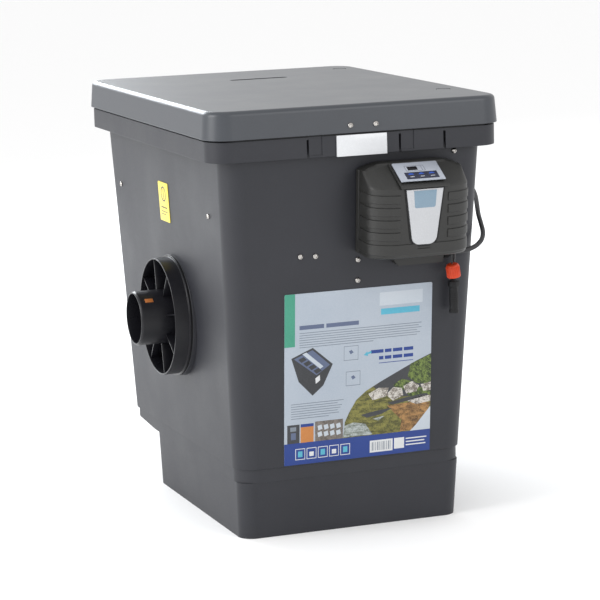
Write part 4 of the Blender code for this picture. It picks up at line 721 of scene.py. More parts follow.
# ---- container ----
walls = {"outlet": -0.25217, "inlet": 0.3713, "dirt": 0.3823, "gland": 0.26394}      # where each pipe leaves

container = {
    "wall": 0.004,
    "seamHeight": 0.1416,
    "rimHeight": 0.040,
    "taper": (0.0302, 0.0527, 0.028),       # lean of a side, the front and the back, rim to seam
    "overhang": (0.029, 0.0165),            # rim beyond the body at the sides and the ends
    "footStep": (0.0093, 0.0143, 0.149),
    "footHeight": 0.114,
    "footDraft": 0.005,
    "footCorner": 0.030,
    "shelfRise": 0.011,
    "band": 0.003,
    "corner": 0.042,
    "rimCorner": 0.045,
    "skirt": 0.004,
    "plateMiddle": 0.004,
    "pockets": (0.029, 0.0945, 0.0016),     # width, distance from the plate's middle, depth
    "slotWidth": 0.005,
    "endSlot": 0.177,
    "rimGap": 0.005,            # the lid stands this far beyond the rim
    "kneeLead": 0.05,           # side points ahead of the foot's back
    # node, axis, wall, radius and length of each bore
    "bores": (("outlet_adapter", "-X", -0.2400, 0.056, 0.08), ("inlet_tail_1", "+Y", 0.375, 0.0255, 0.06),
              ("inlet_tail_2", "+Y", 0.375, 0.0255, 0.06), ("dirt_water_pipe", "+Y", 0.375, 0.0205, 0.06)),
    "drainBore": (0.0165, 0.03),
    "glandBore": (0.262, 0.0075, 0.04),
}


def makeContainer():
    own = container
    lidLow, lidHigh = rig.box("lid")
    rimHalf, rimTop = middleOf("container").x + lidHigh.x - own["rimGap"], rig.box("container")[1].z
    rimFront, rimBack = lidLow.y + own["rimGap"], lidHigh.y - own["rimGap"]
    rimLow = rimTop - own["rimHeight"]
    topHalf = rimHalf - own["overhang"][0]
    topFront, topBack = rimFront + own["overhang"][1], rimBack - own["overhang"][1]
    seamHalf = topHalf - own["taper"][0]
    seamFront, seamBack = topFront + own["taper"][1], topBack - own["taper"][2]
    footHalf = seamHalf - own["footStep"][0]
    footFront, footBack = seamFront + own["footStep"][1], seamBack - own["footStep"][2]
    knee = footBack - own["kneeLead"]

    def wallLevel(height, inset=0.0):
        share = (height - own["seamHeight"]) / (rimLow - own["seamHeight"])
        side, ahead, behind = (lean * share - inset for lean in own["taper"])
        return (height, seamHalf + side, seamFront - ahead, seamBack + behind, own["corner"] - inset)

    def footLevel(height, draft, inset=0.0):
        return (height, footHalf + draft - inset, footFront - 2 * draft + inset, footBack - inset,
                own["footCorner"] - inset / 2)

    def shelfLevel(height, inset=0.0):
        edge = own["band"] + inset
        return (height, seamHalf - edge, seamFront + edge, seamBack - 2 * edge, own["corner"] - inset)

    def rimLevel(height, inset=0.0):
        return (height, rimHalf - inset, rimFront + inset, rimBack - inset, own["rimCorner"] - inset)

    slope = own["shelfRise"] / (seamBack - footBack)
    wall = own["wall"]
    # from the foot up the outside, over the rim, and down the inside to the floor
    outside = [footLevel(0.0, 0.0), footLevel(own["footHeight"], own["footDraft"]),
               shelfLevel(own["footHeight"]),
               shelfLevel(own["seamHeight"] - 0.0012), wallLevel(own["seamHeight"]),
               wallLevel(rimTop - wall), rimLevel(rimTop - wall, own["skirt"]),
               rimLevel(rimLow, own["skirt"]), rimLevel(rimLow), rimLevel(rimTop)]
    inside = [wallLevel(rimTop, wall), wallLevel(own["seamHeight"] + wall, wall),
              shelfLevel(own["footHeight"] + wall, wall),
              footLevel(own["footHeight"] + wall - 0.0002, own["footDraft"], wall),
              footLevel(wall + 0.001, 0.0, wall)]
    sloped = (outside[2], inside[2])        # the shelf rises toward the back
    bm = slabShell([(level, footBack, slope) if level in sloped else (level, knee, 0.0)
                    for level in outside + inside])
    bevelHard(bm, 0.0014, low=rimLow - 0.001)
    bevelHard(bm, 0.0006, high=own["seamHeight"] + 0.01)
    piece = makePiece("containerShell", bm, "bodyPlastic", replaces=["container"])

    cutter = bmesh.new()
    for node, axis, wallAt, radius, length in own["bores"]:
        addCylinder(cutter, radius, length, onWall(node, axis, wallAt))
    addCylinder(cutter, *own["drainBore"], onWall("drain_cap", "+Y", footBack))
    glandAt, glandRadius, glandLength = own["glandBore"]
    addCylinder(cutter, glandRadius, glandLength, onWall("wall_gland", "+X", glandAt), 24)
    pocketWidth, pocketOffset, pocketDepth = own["pockets"]
    pockets = [own["plateMiddle"] + side * pocketOffset for side in (-1, 1)]
    for middle in pockets:
        addBox(cutter, (middle - pocketWidth / 2, rimFront - 0.01, rimLow + 0.004),
               (middle + pocketWidth / 2, rimFront + pocketDepth, rimTop + 0.01), 0.0003)
    cutPiece(piece, cutter)
    cutter = bmesh.new()
    for slotX in [middle - pocketWidth / 2 for middle in pockets] + [own["endSlot"]]:
        addBox(cutter, (slotX - own["slotWidth"] / 2, rimFront - 0.01, rimLow - 0.01),
               (slotX + own["slotWidth"] / 2, rimFront + own["skirt"] + 0.003, rimTop - wall - 0.001), 0.0003)
    cutPiece(piece, cutter)
    evenShading(piece)


makeContainer()


# raised seats that carry the pipes and the gland: node, axis, wall, radius, bore, reach and root
seats = {
    "outletSeat": ("outlet_adapter", "-X", walls["outlet"], 0.1235, 0.056, 0.0065, -0.0065),
    "inletSeat1": ("inlet_tail_1", "+Y", walls["inlet"], 0.041, 0.0253, 0.006, -0.004),
    "inletSeat2": ("inlet_tail_2", "+Y", walls["inlet"], 0.041, 0.0253, 0.006, -0.004),
    "dirtSeat": ("dirt_water_pipe", "+Y", walls["dirt"], 0.036, 0.0203, 0.006, -0.004),
    "glandSeat": ("wall_gland", "+X", walls["gland"], 0.014, 0.0075, 0.003, -0.002),
}


def makeSeats():
    for name, (node, axis, wallAt, radius, bore, reach, root) in seats.items():
        bm = spunShape([(bore, reach), (radius, reach), (radius, root), (bore, root)], 0.0012, 72)
        makePiece(name, bm, "bodyPlastic", place=onWall(node, axis, wallAt))


makeSeats()
print("container ready")


# ---- lid ----
lid = {
    "wall": 0.004,
    "flare": 0.0035,
    "edge": 0.010,
    "corner": 0.045,
    "underside": 0.0120,        # above the locating lip's lower edge
    "lipInset": (0.0355, 0.0195, 0.0215),       # lip behind the lid's side, front and back
    "lipCorner": 0.038,
    "grip": (0.020, 0.207, 0.064, 0.0088, 0.0020),     # x, y, half length, radius, depth
    "marks": ((0.250, 0.322), (0.250, -0.240)),
    "markRadius": 0.015,
    "markDepth": 0.0015,
    "markGroove": 0.002,
}


def makeLid():
    own = lid
    low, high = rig.box("lid")
    half, front, back = high.x - own["flare"], low.y + own["flare"], high.y - own["flare"]
    under, top = low.z + own["underside"], high.z

    def outer(height, inset):
        return (height, half - inset, front + inset, back - inset, own["corner"] - inset * 0.8)

    def lip(height, inset):
        side, ahead, behind = own["lipInset"]
        return (height, high.x - side - inset, low.y + ahead + inset, high.y - behind - inset,
                own["lipCorner"])

    levels = [outer(top - own["wall"], own["edge"] + own["wall"] / 2), outer(top - own["edge"], own["wall"]),
              outer(under + own["wall"], own["wall"] - own["flare"]), lip(under + own["wall"], 0.0035),
              lip(low.z, 0.0035), lip(low.z, 0.0), lip(under, 0.0), outer(under, -own["flare"])]
    steps = 7
    for step in range(steps + 1):
        angle = math.radians(90 * step / steps)
        levels.append(outer(top - own["edge"] * (1 - math.sin(angle)), own["edge"] * (1 - math.cos(angle))))
    bm = slabShell([(level, 0.0, 0.0) for level in levels])
    bevelHard(bm, 0.0012, high=under + 0.001, angle=50)
    piece = makePiece("lidShell", bm, "lidPlastic", body="lid_body", replaces=["lid"])
    cutter = bmesh.new()
    gripX, gripY, gripHalf, gripRadius, gripDepth = own["grip"]
    addPlate(cutter, roundedOutline(gripX - gripHalf, gripY - gripRadius, gripX + gripHalf,
                                    gripY + gripRadius, gripRadius - 0.0001, 10),
             top + gripDepth, 2 * gripDepth, 0.0001)
    for x, y in own["marks"]:
        addCylinder(cutter, own["markRadius"], 2 * own["markDepth"], Matrix.Translation((x, y, top)), 64)
    cutPiece(piece, cutter)
    # a disc fills the middle of each recess and leaves a groove round it
    discRadius, discHeight = own["markRadius"] - own["markGroove"], 0.0012
    for number, (x, y) in enumerate(own["marks"], 1):
        bm = spunShape([(0, discHeight), (discRadius, discHeight), (discRadius, 0), (0, 0)], 0.0005, 48)
        makePiece(f"lidMark{number}", bm, "lidPlastic", body="lid_body",
                  place=Matrix.Translation((x, y, top - own["markDepth"] - 0.0001)))
    evenShading(piece)


makeLid()
print("lid ready")


# ---- screws, name plate ----
screws = {"head": 0.0055, "dome": 0.0036, "socket": 0.0021, "socketDepth": 0.0018, "shank": 0.0025,
          "shankEnd": -0.003}


def makeScrew(node, direction, body):
    low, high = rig.box(node)
    own = screws
    floor = own["dome"] - own["socketDepth"]
    outline = [(0, floor), (own["socket"], floor), (own["socket"] + 0.0002, own["dome"] - 0.0002)]
    outline += [(own["head"] * math.sin(math.radians(a)), own["dome"] * math.cos(math.radians(a)))
                for a in range(28, 89, 12)]
    outline += [(own["head"], -0.0002), (own["shank"], -0.0002), (own["shank"], own["shankEnd"]),
                (0, own["shankEnd"])]
    bm = spunShape(outline[::-1], 0.00015, 36)
    # the socket is a hexagon
    for vert in bm.verts:
        spread = math.hypot(vert.co.x, vert.co.y)
        if 0.0005 < spread < own["socket"] + 0.0001 and vert.co.z > floor - 0.0005:
            angle = math.atan2(vert.co.y, vert.co.x) % math.radians(60) - math.radians(30)
            scale = math.cos(math.radians(30)) / math.cos(angle) * 1.05
            vert.co.x, vert.co.y = vert.co.x * scale, vert.co.y * scale
    # the dome's top meets the outer side of the node's box
    direction = Vector(direction).normalized()
    outermost = Vector([high[i] if direction[i] > 0 else low[i] for i in range(3)])
    middle = (low + high) / 2
    seat = middle + direction * ((outermost - middle).dot(direction) - own["dome"])
    place = Matrix.Translation(seat) @ direction.to_track_quat("Z", "Y").to_matrix().to_4x4()
    makePiece(node + "Head", bm, "stainless", body=body, replaces=[node], place=place, sharpFrom=40)


def makeScrews():
    out = Vector((0, -math.cos(frontLean), -math.sin(frontLean)))
    sideLean = leanOf("yellow_label", labelThickness, 0)[0]
    outLeft = Vector((-math.cos(sideLean), 0, -math.sin(sideLean)))
    for node in ("baffle_screw_1", "baffle_screw_2", "bracket_screw_1", "bracket_screw_2", "rim_screw"):
        makeScrew(node, out, "tank")
    for node in ("side_screw_1", "side_screw_2"):
        makeScrew(node, outLeft, "tank")
    for node in ("lid_screw_1", "lid_screw_2"):
        makeScrew(node, (0, -1, 0.08), "lid_body")


makeScrews()


def makeBlock(name, node, finishName, radius):
    bm = bmesh.new()
    addBox(bm, *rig.box(node), radius)
    makePiece(name, bm, finishName, replaces=[node])


makeBlock("namePlate", "name_plate", "whitePlastic", 0.0008)
print("screws and plate ready")


# ---- outlet ----
outlet = {
    "ring": (0.1190, 0.0030, 0.0420),       # radius, wall, reach
    "flange": (0.1235, 0.0095, 0.0120),     # radius, from, to
    "pipe": (0.0550, 0.0045, 0.0920, -0.0300),      # radius, wall, reach, inner end
    "ribThickness": 0.0030,
    "ribReach": 0.0390,
    "ribCount": 8,
    "ribTurn": 11.0,
    "markHalf": (0.0045, 0.0085),
    "markThickness": 0.0008,
    "markTurn": 48,
    "markFromEnd": 0.022,
}


def makeOutlet():
    own = outlet
    place = onWall("outlet_adapter", "-X", walls["outlet"])
    ringRadius, ringWall, ringReach = own["ring"]
    flangeRadius, flangeLow, flangeHigh = own["flange"]
    pipeRadius, pipeWall, pipeReach, pipeRoot = own["pipe"]
    bore = pipeRadius - pipeWall
    bm = spunShape([(bore, pipeRoot), (bore, pipeReach), (pipeRadius - 0.0022, pipeReach),
                    (pipeRadius, pipeReach - 0.0035), (pipeRadius, flangeHigh),
                    (ringRadius - ringWall, flangeHigh), (ringRadius - ringWall, ringReach),
                    (ringRadius, ringReach), (ringRadius, flangeHigh), (flangeRadius, flangeHigh),
                    (flangeRadius, flangeLow), (pipeRadius, flangeLow), (pipeRadius, pipeRoot)], 0.0011, 96)
    for number in range(own["ribCount"]):
        turn = turned(own["ribTurn"] + 360 * number / own["ribCount"], "Z")
        addBox(bm, (pipeRadius - 0.002, -own["ribThickness"] / 2, flangeHigh - 0.001),
               (ringRadius - ringWall + 0.001, own["ribThickness"] / 2, own["ribReach"]), 0.0006, place=turn)
    makePiece("outletAdapter", bm, "pipePlastic", replaces=["outlet_adapter"], place=place)
    # moulding gate mark on the pipe
    bm = bmesh.new()
    halfX, halfY = own["markHalf"]
    addBox(bm, (-halfX, -halfY, 0), (halfX, halfY, own["markThickness"]), 0.00025)
    spot = Matrix.Translation((0, own["markThickness"] / 2 - pipeRadius, pipeReach - own["markFromEnd"]))
    makePiece("pipeMark", bm, "gateMark",
              place=place @ turned(own["markTurn"], "Z") @ spot @ turned(90, "X"))


makeOutlet()


# ---- hose tails, dirt water pipe, drain cap, glands ----
inletTail = {"wallAt": walls["inlet"], "radius": 0.025, "bore": 0.022, "end": 0.067, "collar": 0.038,
             "root": -0.0303, "barbs": 3}
tails = {
    "inletTail1": dict(inletTail, node="inlet_tail_1"),
    "inletTail2": dict(inletTail, node="inlet_tail_2"),
    "dirtPipe": {"node": "dirt_water_pipe", "wallAt": walls["dirt"], "radius": 0.020, "bore": 0.017,
                 "end": 0.052, "collar": 0.033, "root": -0.1433, "barbs": 2},
}
barb = {"height": 0.0011, "first": 0.010, "pitch": 0.013}
collar = (0.0063, 0.012)        # the collar's two faces, from the wall
drain = {"radius": 0.024, "head": (0.0003, 0.010), "plug": 0.016, "plugEnd": -0.014,
         "barHalf": (0.014, 0.0045), "barTop": 0.026}


def makeTails():
    for name, own in tails.items():
        waist, crest, end = own["radius"] - 0.0004, own["radius"] + barb["height"], own["end"]
        outline = [(own["bore"], own["root"]), (own["bore"], end), (own["radius"] - 0.0012, end)]
        for number in range(own["barbs"]):
            foot = end - barb["first"] - number * barb["pitch"]
            outline += [(crest, foot), (crest, foot - 0.002), (waist, foot - 0.003)]
        outline += [(waist, collar[1]), (own["collar"], collar[1]), (own["collar"], collar[0]),
                    (waist, collar[0]), (waist, own["root"])]
        makePiece(name, spunShape(outline, 0.0005, 64), "pipePlastic", replaces=[own["node"]],
                  place=onWall(own["node"], "+Y", own["wallAt"]))


def makeDrainCap():
    own = drain
    low, top = own["head"]
    bm = spunShape([(0, top), (own["radius"], top), (own["radius"], low), (own["plug"], low),
                    (own["plug"], own["plugEnd"]), (0, own["plugEnd"])], 0.0010, 60)
    halfX, halfY = own["barHalf"]
    addBox(bm, (-halfX, -halfY, top - 0.001), (halfX, halfY, own["barTop"]), 0.0020)
    makePiece("drainCap", bm, "pipePlastic", replaces=["drain_cap"],
              place=onWall("drain_cap", "+Y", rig.box("drain_cap")[1].y - own["barTop"]))


makeTails()
makeDrainCap()

glands = {
    "controllerGland": {"node": "controller_gland", "place": (0.1800, -0.38463, 0.54481), "from": 0.0,
                        "shape": ((0.0095, 0.010), (0.0085, 0.012), (0.0065, 0.019))},
    "wallGland": {"node": "wall_gland", "place": (walls["gland"], -0.120, 0.640), "from": 0.0033,
                  "shape": ((0.012, 0.013), (0.0095, 0.015), (0.0065, 0.024))},
}
glandBore = 0.0048      # radius
flats = {"count": 12, "half": 0.0011, "raise": 0.0006}     # shallow ribs round the nut


def makeGlands():
    for name, own in glands.items():
        (nutRadius, nutTop), end = own["shape"][0], own["shape"][-1][1]
        outline = [(0, own["from"]), (nutRadius, own["from"]), *own["shape"], (glandBore, end), (0, end)]
        bm = spunShape(outline, 0.0004, 48)
        for number in range(flats["count"]):
            addBox(bm, (nutRadius - 0.001, -flats["half"], own["from"] + 0.001),
                   (nutRadius + flats["raise"], flats["half"], nutTop - 0.001), 0.0003,
                   place=turned(360 * number / flats["count"], "Z"))
        makePiece(name, bm, "blackRubber", replaces=[own["node"]],
                  place=Matrix.Translation(own["place"]) @ turns["+X"])


makeGlands()
print("outlet, tails and glands ready")


# ---- controller ----
cover = {
    "halfWidth": 0.104,
    "depth": (0.018, 0.097),
    "cheek": (0.054, 0.039),    # quarter ellipse, across and out
    "shoulder": 0.059,
    "crown": (0.093, 0.097, 0.030),     # slope end, top, depth of the slope end
    "arch": 0.012,
    "bottomRadius": 0.008,
    "bandTops": (0.047, 0.023, -0.001, -0.025),
    "bandHeight": 0.0165,
    "bandStart": 0.0495,        # from the middle
    "bandEnd": 0.0075,          # from the back edge
    "bandRaise": 0.0021,
    "bandProud": 0.4,           # share of the raise that stands outside the plan
    "flank": 0.0009,
    "lip": (-0.049, -0.059, 0.014),     # outer height, inner height, step near the middle
    "back": (0.0178, 0.0122, 0.0010),       # outer face, thickness, edge radius
}


def ramp(*shares):
    return max(0.0, min(1.0, *shares))


def makeCover():
    own = cover
    backOff, frontOff = own["depth"]
    across, out = own["cheek"]
    flat = own["halfWidth"] - across
    sideOff = frontOff - out
    start, flank = own["bandStart"], own["flank"]
    # half of the plan: from the middle of the front round to the back edge
    plan = [(x, frontOff, 0.0, 1.0) for x in (0.0, 0.010, 0.0145, 0.018, 0.030, 0.042, start - flank, start)]
    for step in range(1, 17):
        angle = math.radians(90 * step / 16)
        normal = Vector((math.sin(angle) / across, math.cos(angle) / out)).normalized()
        plan.append((flat + across * math.sin(angle), sideOff + out * math.cos(angle), normal.x, normal.y))
    bandEnd = backOff + own["bandEnd"]
    plan += [(own["halfWidth"], off, 1.0, 0.0) for off in
             (sideOff - 0.008, backOff + 0.020, bandEnd, bandEnd - flank, backOff)]
    plan = [(-x, off, -nx, ny) for x, off, nx, ny in reversed(plan[1:])] + plan
    # levels: (height, share of the depth kept)
    low, shoulder = controller["low"], own["shoulder"]
    slopeTop, crown, slopeOff = own["crown"]
    fillet = own["bottomRadius"]
    full = frontOff - backOff
    levels = [(low, 0.0), (low, 0.45)]
    for angle in map(math.radians, (0, 20, 40, 60, 80)):
        levels.append((low + fillet * (1 - math.cos(angle)), 1 - fillet * (1 - math.sin(angle)) / full))
    heights = {low + fillet + 0.0005, shoulder - 0.004, shoulder - 0.001}
    for top in own["bandTops"]:
        heights |= {top, top - flank, top - own["bandHeight"] + flank, top - own["bandHeight"],
                    top - own["bandHeight"] / 2}
    lipOuter, lipInner, lipX = own["lip"]
    heights |= {lipOuter, lipOuter - flank, lipInner, lipInner - flank}
    levels += [(height, 1.0) for height in sorted(heights)]
    for share in (0.06, 0.12, 0.2, 0.35, 0.5, 0.65, 0.8, 0.92, 1.0):
        off = frontOff + (slopeOff - frontOff) * share
        levels.append((shoulder + (slopeTop - shoulder) * share, (off - backOff) / full))
    levels += [(crown - 0.0012, (slopeOff - backOff - 0.003) / full), (crown, 0.06), (crown, 0.0)]

    def bandLift(x, off, height):
        side = abs(x)
        along = off if side > own["halfWidth"] - 1e-6 else 1.0
        width = ramp((side - start + flank) / flank, (along - bandEnd + flank) / flank)
        share = max(ramp((height - top + own["bandHeight"]) / flank, (top - height) / flank)
                    for top in own["bandTops"])
        edge = lipOuter if side > lipX else lipInner
        below = ramp((edge - height) / flank)
        return own["bandRaise"] * max(share * width, below * 0.8 if height > low + fillet else 0.0)

    bm = bmesh.new()
    bmesh.ops.create_grid(bm, x_segments=len(plan) - 1, y_segments=len(levels) - 1, size=1)
    bm.verts.ensure_lookup_table()
    columns = sorted({round(vert.co.x, 5) for vert in bm.verts})
    rows = sorted({round(vert.co.y, 5) for vert in bm.verts})
    for vert in bm.verts:
        x, off, nx, ny = plan[columns.index(round(vert.co.x, 5))]
        height, kept = levels[rows.index(round(vert.co.y, 5))]
        lift = bandLift(x, off, height)
        beyond = max(0.0, abs(x) - flat) / across
        # the ground between the bands lies inside the plan
        sunk = own["bandRaise"] * (1 - own["bandProud"]) - lift
        x, off = x - nx * sunk, off - ny * sunk if off > backOff + 0.001 else off
        off = backOff + (off - backOff) * kept
        # the crown drops toward the sides
        drop = own["arch"] * beyond ** 2
        vert.co = (x, -off, min(height, crown - drop))
    bmesh.ops.remove_doubles(bm, verts=bm.verts, dist=0.00002)
    bmesh.ops.dissolve_degenerate(bm, edges=bm.edges, dist=0.00002)
    bmesh.ops.holes_fill(bm, edges=[edge for edge in bm.edges if edge.is_boundary], sides=0)
    bmesh.ops.recalc_face_normals(bm, faces=bm.faces)
    makePiece("controllerCover", bm, "housingPlastic", replaces=["controller_cover"], place=controllerFrame,
              sharpFrom=24)
    bm = bmesh.new()
    crownOutline = [(x, crown - 0.0005 - own["arch"] * (max(0.0, abs(x) - flat) / across) ** 2)
                    for x in [own["halfWidth"] * (1 - i / 12) for i in range(25)]]
    addPlate(bm, [(-own["halfWidth"], low), (own["halfWidth"], low)] + crownOutline, *own["back"])
    makePiece("controllerBack", bm, "housingPlastic", replaces=["controller_back"],
              place=controllerFrame @ upright)


makeCover()

blade = {"top": 0.057, "halfTop": 0.038, "tip": -0.051, "halfTip": 0.026, "tipRadius": 0.016,
         "face": 0.1001, "groove": 0.0040}
badge = {"top": 0.0565, "halfTop": 0.0235, "foot": 0.021, "halfFoot": 0.0215, "radius": 0.004}


def taperedOutline(top, halfTop, foot, halfFoot, radius, grow=0.0):
    outline = [(-halfTop - grow, top + grow)]
    outline += arc((-halfFoot + radius, foot + radius), radius + grow, 184, 270, 8)
    outline += arc((halfFoot - radius, foot + radius), radius + grow, 270, 356, 8)
    return outline + [(halfTop + grow, top + grow)]


def makeBlade():
    own = blade
    facePlace = controllerFrame @ upright
    shape = (own["top"], own["halfTop"], own["tip"], own["halfTip"], own["tipRadius"])
    # a black sheet a groove wide round the blade: painted shade of the groove between the blade and the cover
    bm = bmesh.new()
    addPlate(bm, taperedOutline(*shape, grow=own["groove"]), cover["depth"][1], 0.0014, 0.0004)
    makePiece("bladeGrooveShade", bm, "blackRubber", place=facePlace)
    bm = bmesh.new()
    addPlate(bm, taperedOutline(*shape), own["face"] - 0.0006, 0.0038, 0.0012, dome=0.0006)
    makePiece("frontBlade", bm, "bladePlastic", replaces=["front_blade"], place=facePlace)
    bm = bmesh.new()
    addPlate(bm, taperedOutline(badge["top"] - 0.002, badge["halfTop"], badge["foot"], badge["halfFoot"],
                                badge["radius"]), own["face"] + 0.0003, 0.0012, 0.0002)
    makePiece("badgeWindow", bm, "badgeGrey", replaces=["badge_window"], place=facePlace)


makeBlade()

panel = {
    "frameHalf": 0.0495,
    "frameProfile": ((0.030, 0.093), (0.097, 0.060), (0.102, 0.0595), (0.102, 0.0625), (0.095, 0.0655),
                     (0.033, 0.0955), (0.030, 0.095)),
    "plane": (0.064, 0.0805, 25.74),        # out of the wall, up, tilt
    "half": (0.046, 0.0285),
    "face": (0.0034, 0.0050),       # back and front
    "strip": (-0.0315, -0.0230, 0.0355, -0.0020),
    "keyX": (-0.0192, 0.0020, 0.0232),
    "keyY": -0.0125,
    "keySize": (0.0195, 0.0135),
    "keyTop": 0.0057,
    "display": (-0.020, 0.0045, 0.0, 0.0150),
    "windowFrame": (-0.0245, 0.0015, 0.0150, 0.0180),
    "windowDivider": 0.0060,        # from the frame's right side
    "line": 0.0006,
    "crest": (0.0008, 0.0062),      # above the key's middle, radius
    "bar": (0.0042, -0.0048, -0.0034),      # half width, foot, top
}


def makePanel():
    own = panel
    bm = bmesh.new()
    verts = [bm.verts.new((-own["frameHalf"], -off, height)) for off, height in own["frameProfile"]]
    face = bm.faces.new(verts)
    raised = bmesh.ops.extrude_face_region(bm, geom=[face])["geom"]
    bmesh.ops.translate(bm, verts=[v for v in raised if isinstance(v, bmesh.types.BMVert)],
                        vec=(2 * own["frameHalf"], 0, 0))
    bmesh.ops.recalc_face_normals(bm, faces=bm.faces)
    bevelEdges(bm, [edge for edge in bm.edges if edge.calc_face_angle() > 0.3], 0.0007)
    makePiece("panelFrame", bm, "housingPlastic", replaces=["panel_frame"], place=controllerFrame)

    off, height, tilt = own["plane"]
    planeFrame = controllerFrame @ Matrix.Translation((0, -off, height)) @ turned(tilt, "X")
    halfX, halfY = own["half"]
    low, top = own["face"]
    bm = bmesh.new()
    addPlate(bm, roundedOutline(-halfX, -halfY, halfX, halfY, 0.0015), top, top - low, 0.0003)
    makePiece("controlPanel", bm, "silverLacquer", replaces=["control_panel"], place=planeFrame)
    bm = bmesh.new()
    addPlate(bm, roundedOutline(*own["strip"], 0.0008), top + 0.0002, 0.0006, 0.0001)
    x0, y0, x1, y1 = own["windowFrame"]
    line, divider = own["line"], x1 - own["windowDivider"]
    for left, foot, right, head in ((x0, y0, x1, y0 + line), (x0, y1 - line, x1, y1), (x0, y0, x0 + line, y1),
                                    (x1 - line, y0, x1, y1), (divider, y0, divider + line, y1)):
        addBox(bm, (left, foot, top - 0.0002), (right, head, top + 0.0001), 0.00003)
    makePiece("panelPrint", bm, "keyBlue", place=planeFrame)
    bm = bmesh.new()
    addPlate(bm, roundedOutline(*own["display"], 0.0008), top + 0.0006, 0.0008, 0.0002)
    makePiece("displayWindow", bm, "displayGlass", replaces=["display_window"], place=planeFrame)
    (keyX, keyY), keyTop = own["keySize"], own["keyTop"]
    crestRise, crestRadius = own["crest"]
    barHalf, barFoot, barTop = own["bar"]
    for number, x in enumerate(own["keyX"], 1):
        y = own["keyY"]
        bm = bmesh.new()
        addPlate(bm, roundedOutline(x - keyX / 2, y - keyY / 2, x + keyX / 2, y + keyY / 2, 0.0015), keyTop,
                 keyTop - top + 0.0008, 0.0003)
        # blue crest over the key's upper part and a pale bar below it
        addPlate(bm, arc((x, y + crestRise), crestRadius, 15, 165, 10), keyTop + 0.0001, 0.0004, 0.00005,
                 finishIndex=1)
        addPlate(bm, roundedOutline(x - barHalf, y + barFoot, x + barHalf, y + barTop, 0.0005),
                 keyTop + 0.0001, 0.0004, 0.00005, finishIndex=2)
        makePiece(f"key{number}", bm, ["keyBlue", "markBlue", "whitePlastic"], body=f"key_body_{number}",
                  replaces=[f"key_{number}"], place=planeFrame)


makePanel()
print("controller ready")


# ---- connector and cap ----
connector = {
    "place": (0.200, -0.388, 0.4942),
    "shape": ((0.0050, 0), (0.0076, -0.006), (0.0098, -0.006), (0.0098, -0.017), (0.0086, -0.018),
              (0.0086, -0.062), (0.0096, -0.063), (0.0096, -0.069), (0.0060, -0.069), (0.0060, -0.060),
              (0, -0.060), (0, 0)),
    "nut": (0.0116, 0.006, 0.017),      # radius, top and foot below the top
    "ring": (0.0091, 0.0016, 0.0280, 0.0042),       # radius, height, first below the top, pitch
    "rings": 6,
    "capPlace": (0.1905, -0.4080, 0.5130),
    "capTilt": (-10, 6),        # about Y, then X
    "capShape": ((0, 0.013), (0.0105, 0.013), (0.0125, 0.010), (0.0135, -0.013), (0.0115, -0.013),
                 (0.0115, 0.006), (0, 0.006)),
    "capRibs": 20,
    "capRib": ((0.0115, -0.0009, -0.0115), (0.0137, 0.0009, 0.0085)),
}


def makeConnector():
    own = connector
    bm = spunShape(own["shape"], 0.0006, 48)
    radius, top, foot = own["nut"]
    nut = bmesh.ops.create_cone(bm, cap_ends=True, segments=6, radius1=radius, radius2=radius,
                                depth=foot - top)["verts"]
    bmesh.ops.translate(bm, verts=nut, vec=(0, 0, -(foot + top) / 2))
    bevelEdges(bm, list({edge for vert in nut for edge in vert.link_edges}), 0.0007)
    ringRadius, ringHeight, ringStart, ringPitch = own["ring"]
    for number in range(own["rings"]):
        addCylinder(bm, ringRadius, ringHeight, Matrix.Translation((0, 0, -ringStart - number * ringPitch)))
    piece = makePiece("hangingConnector", bm, "blackRubber", replaces=["hanging_connector"],
                      place=Matrix.Translation(own["place"]))
    bm = spunShape(own["capShape"], 0.0009, 60)
    for number in range(own["capRibs"]):
        addBox(bm, *own["capRib"], 0.0004, place=turned(360 * number / own["capRibs"], "Z"))
    aboutY, aboutX = own["capTilt"]
    place = Matrix.Translation(own["capPlace"]) @ turned(aboutY, "Y") @ turned(aboutX, "X")
    cap = makePiece("orangeCap", bm, "orangeCap", replaces=["connector_cap"], place=place)
    return piece, cap


hangingConnector, orangeCap = makeConnector()
cordPieces = {"controllerLead": [], "connectorLead": [hangingConnector], "capStrap": [orangeCap]}
for name, (piece, length) in laid.items():
    facts = cords[name]
    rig.cord(piece, exit=facts["route"][0], length=length, diameter=facts["diameter"],
            far_end=facts["farEnd"], stiffness=facts["stiffness"], lay=facts["lay"],
            with_pieces=cordPieces[name])
print("connector ready")


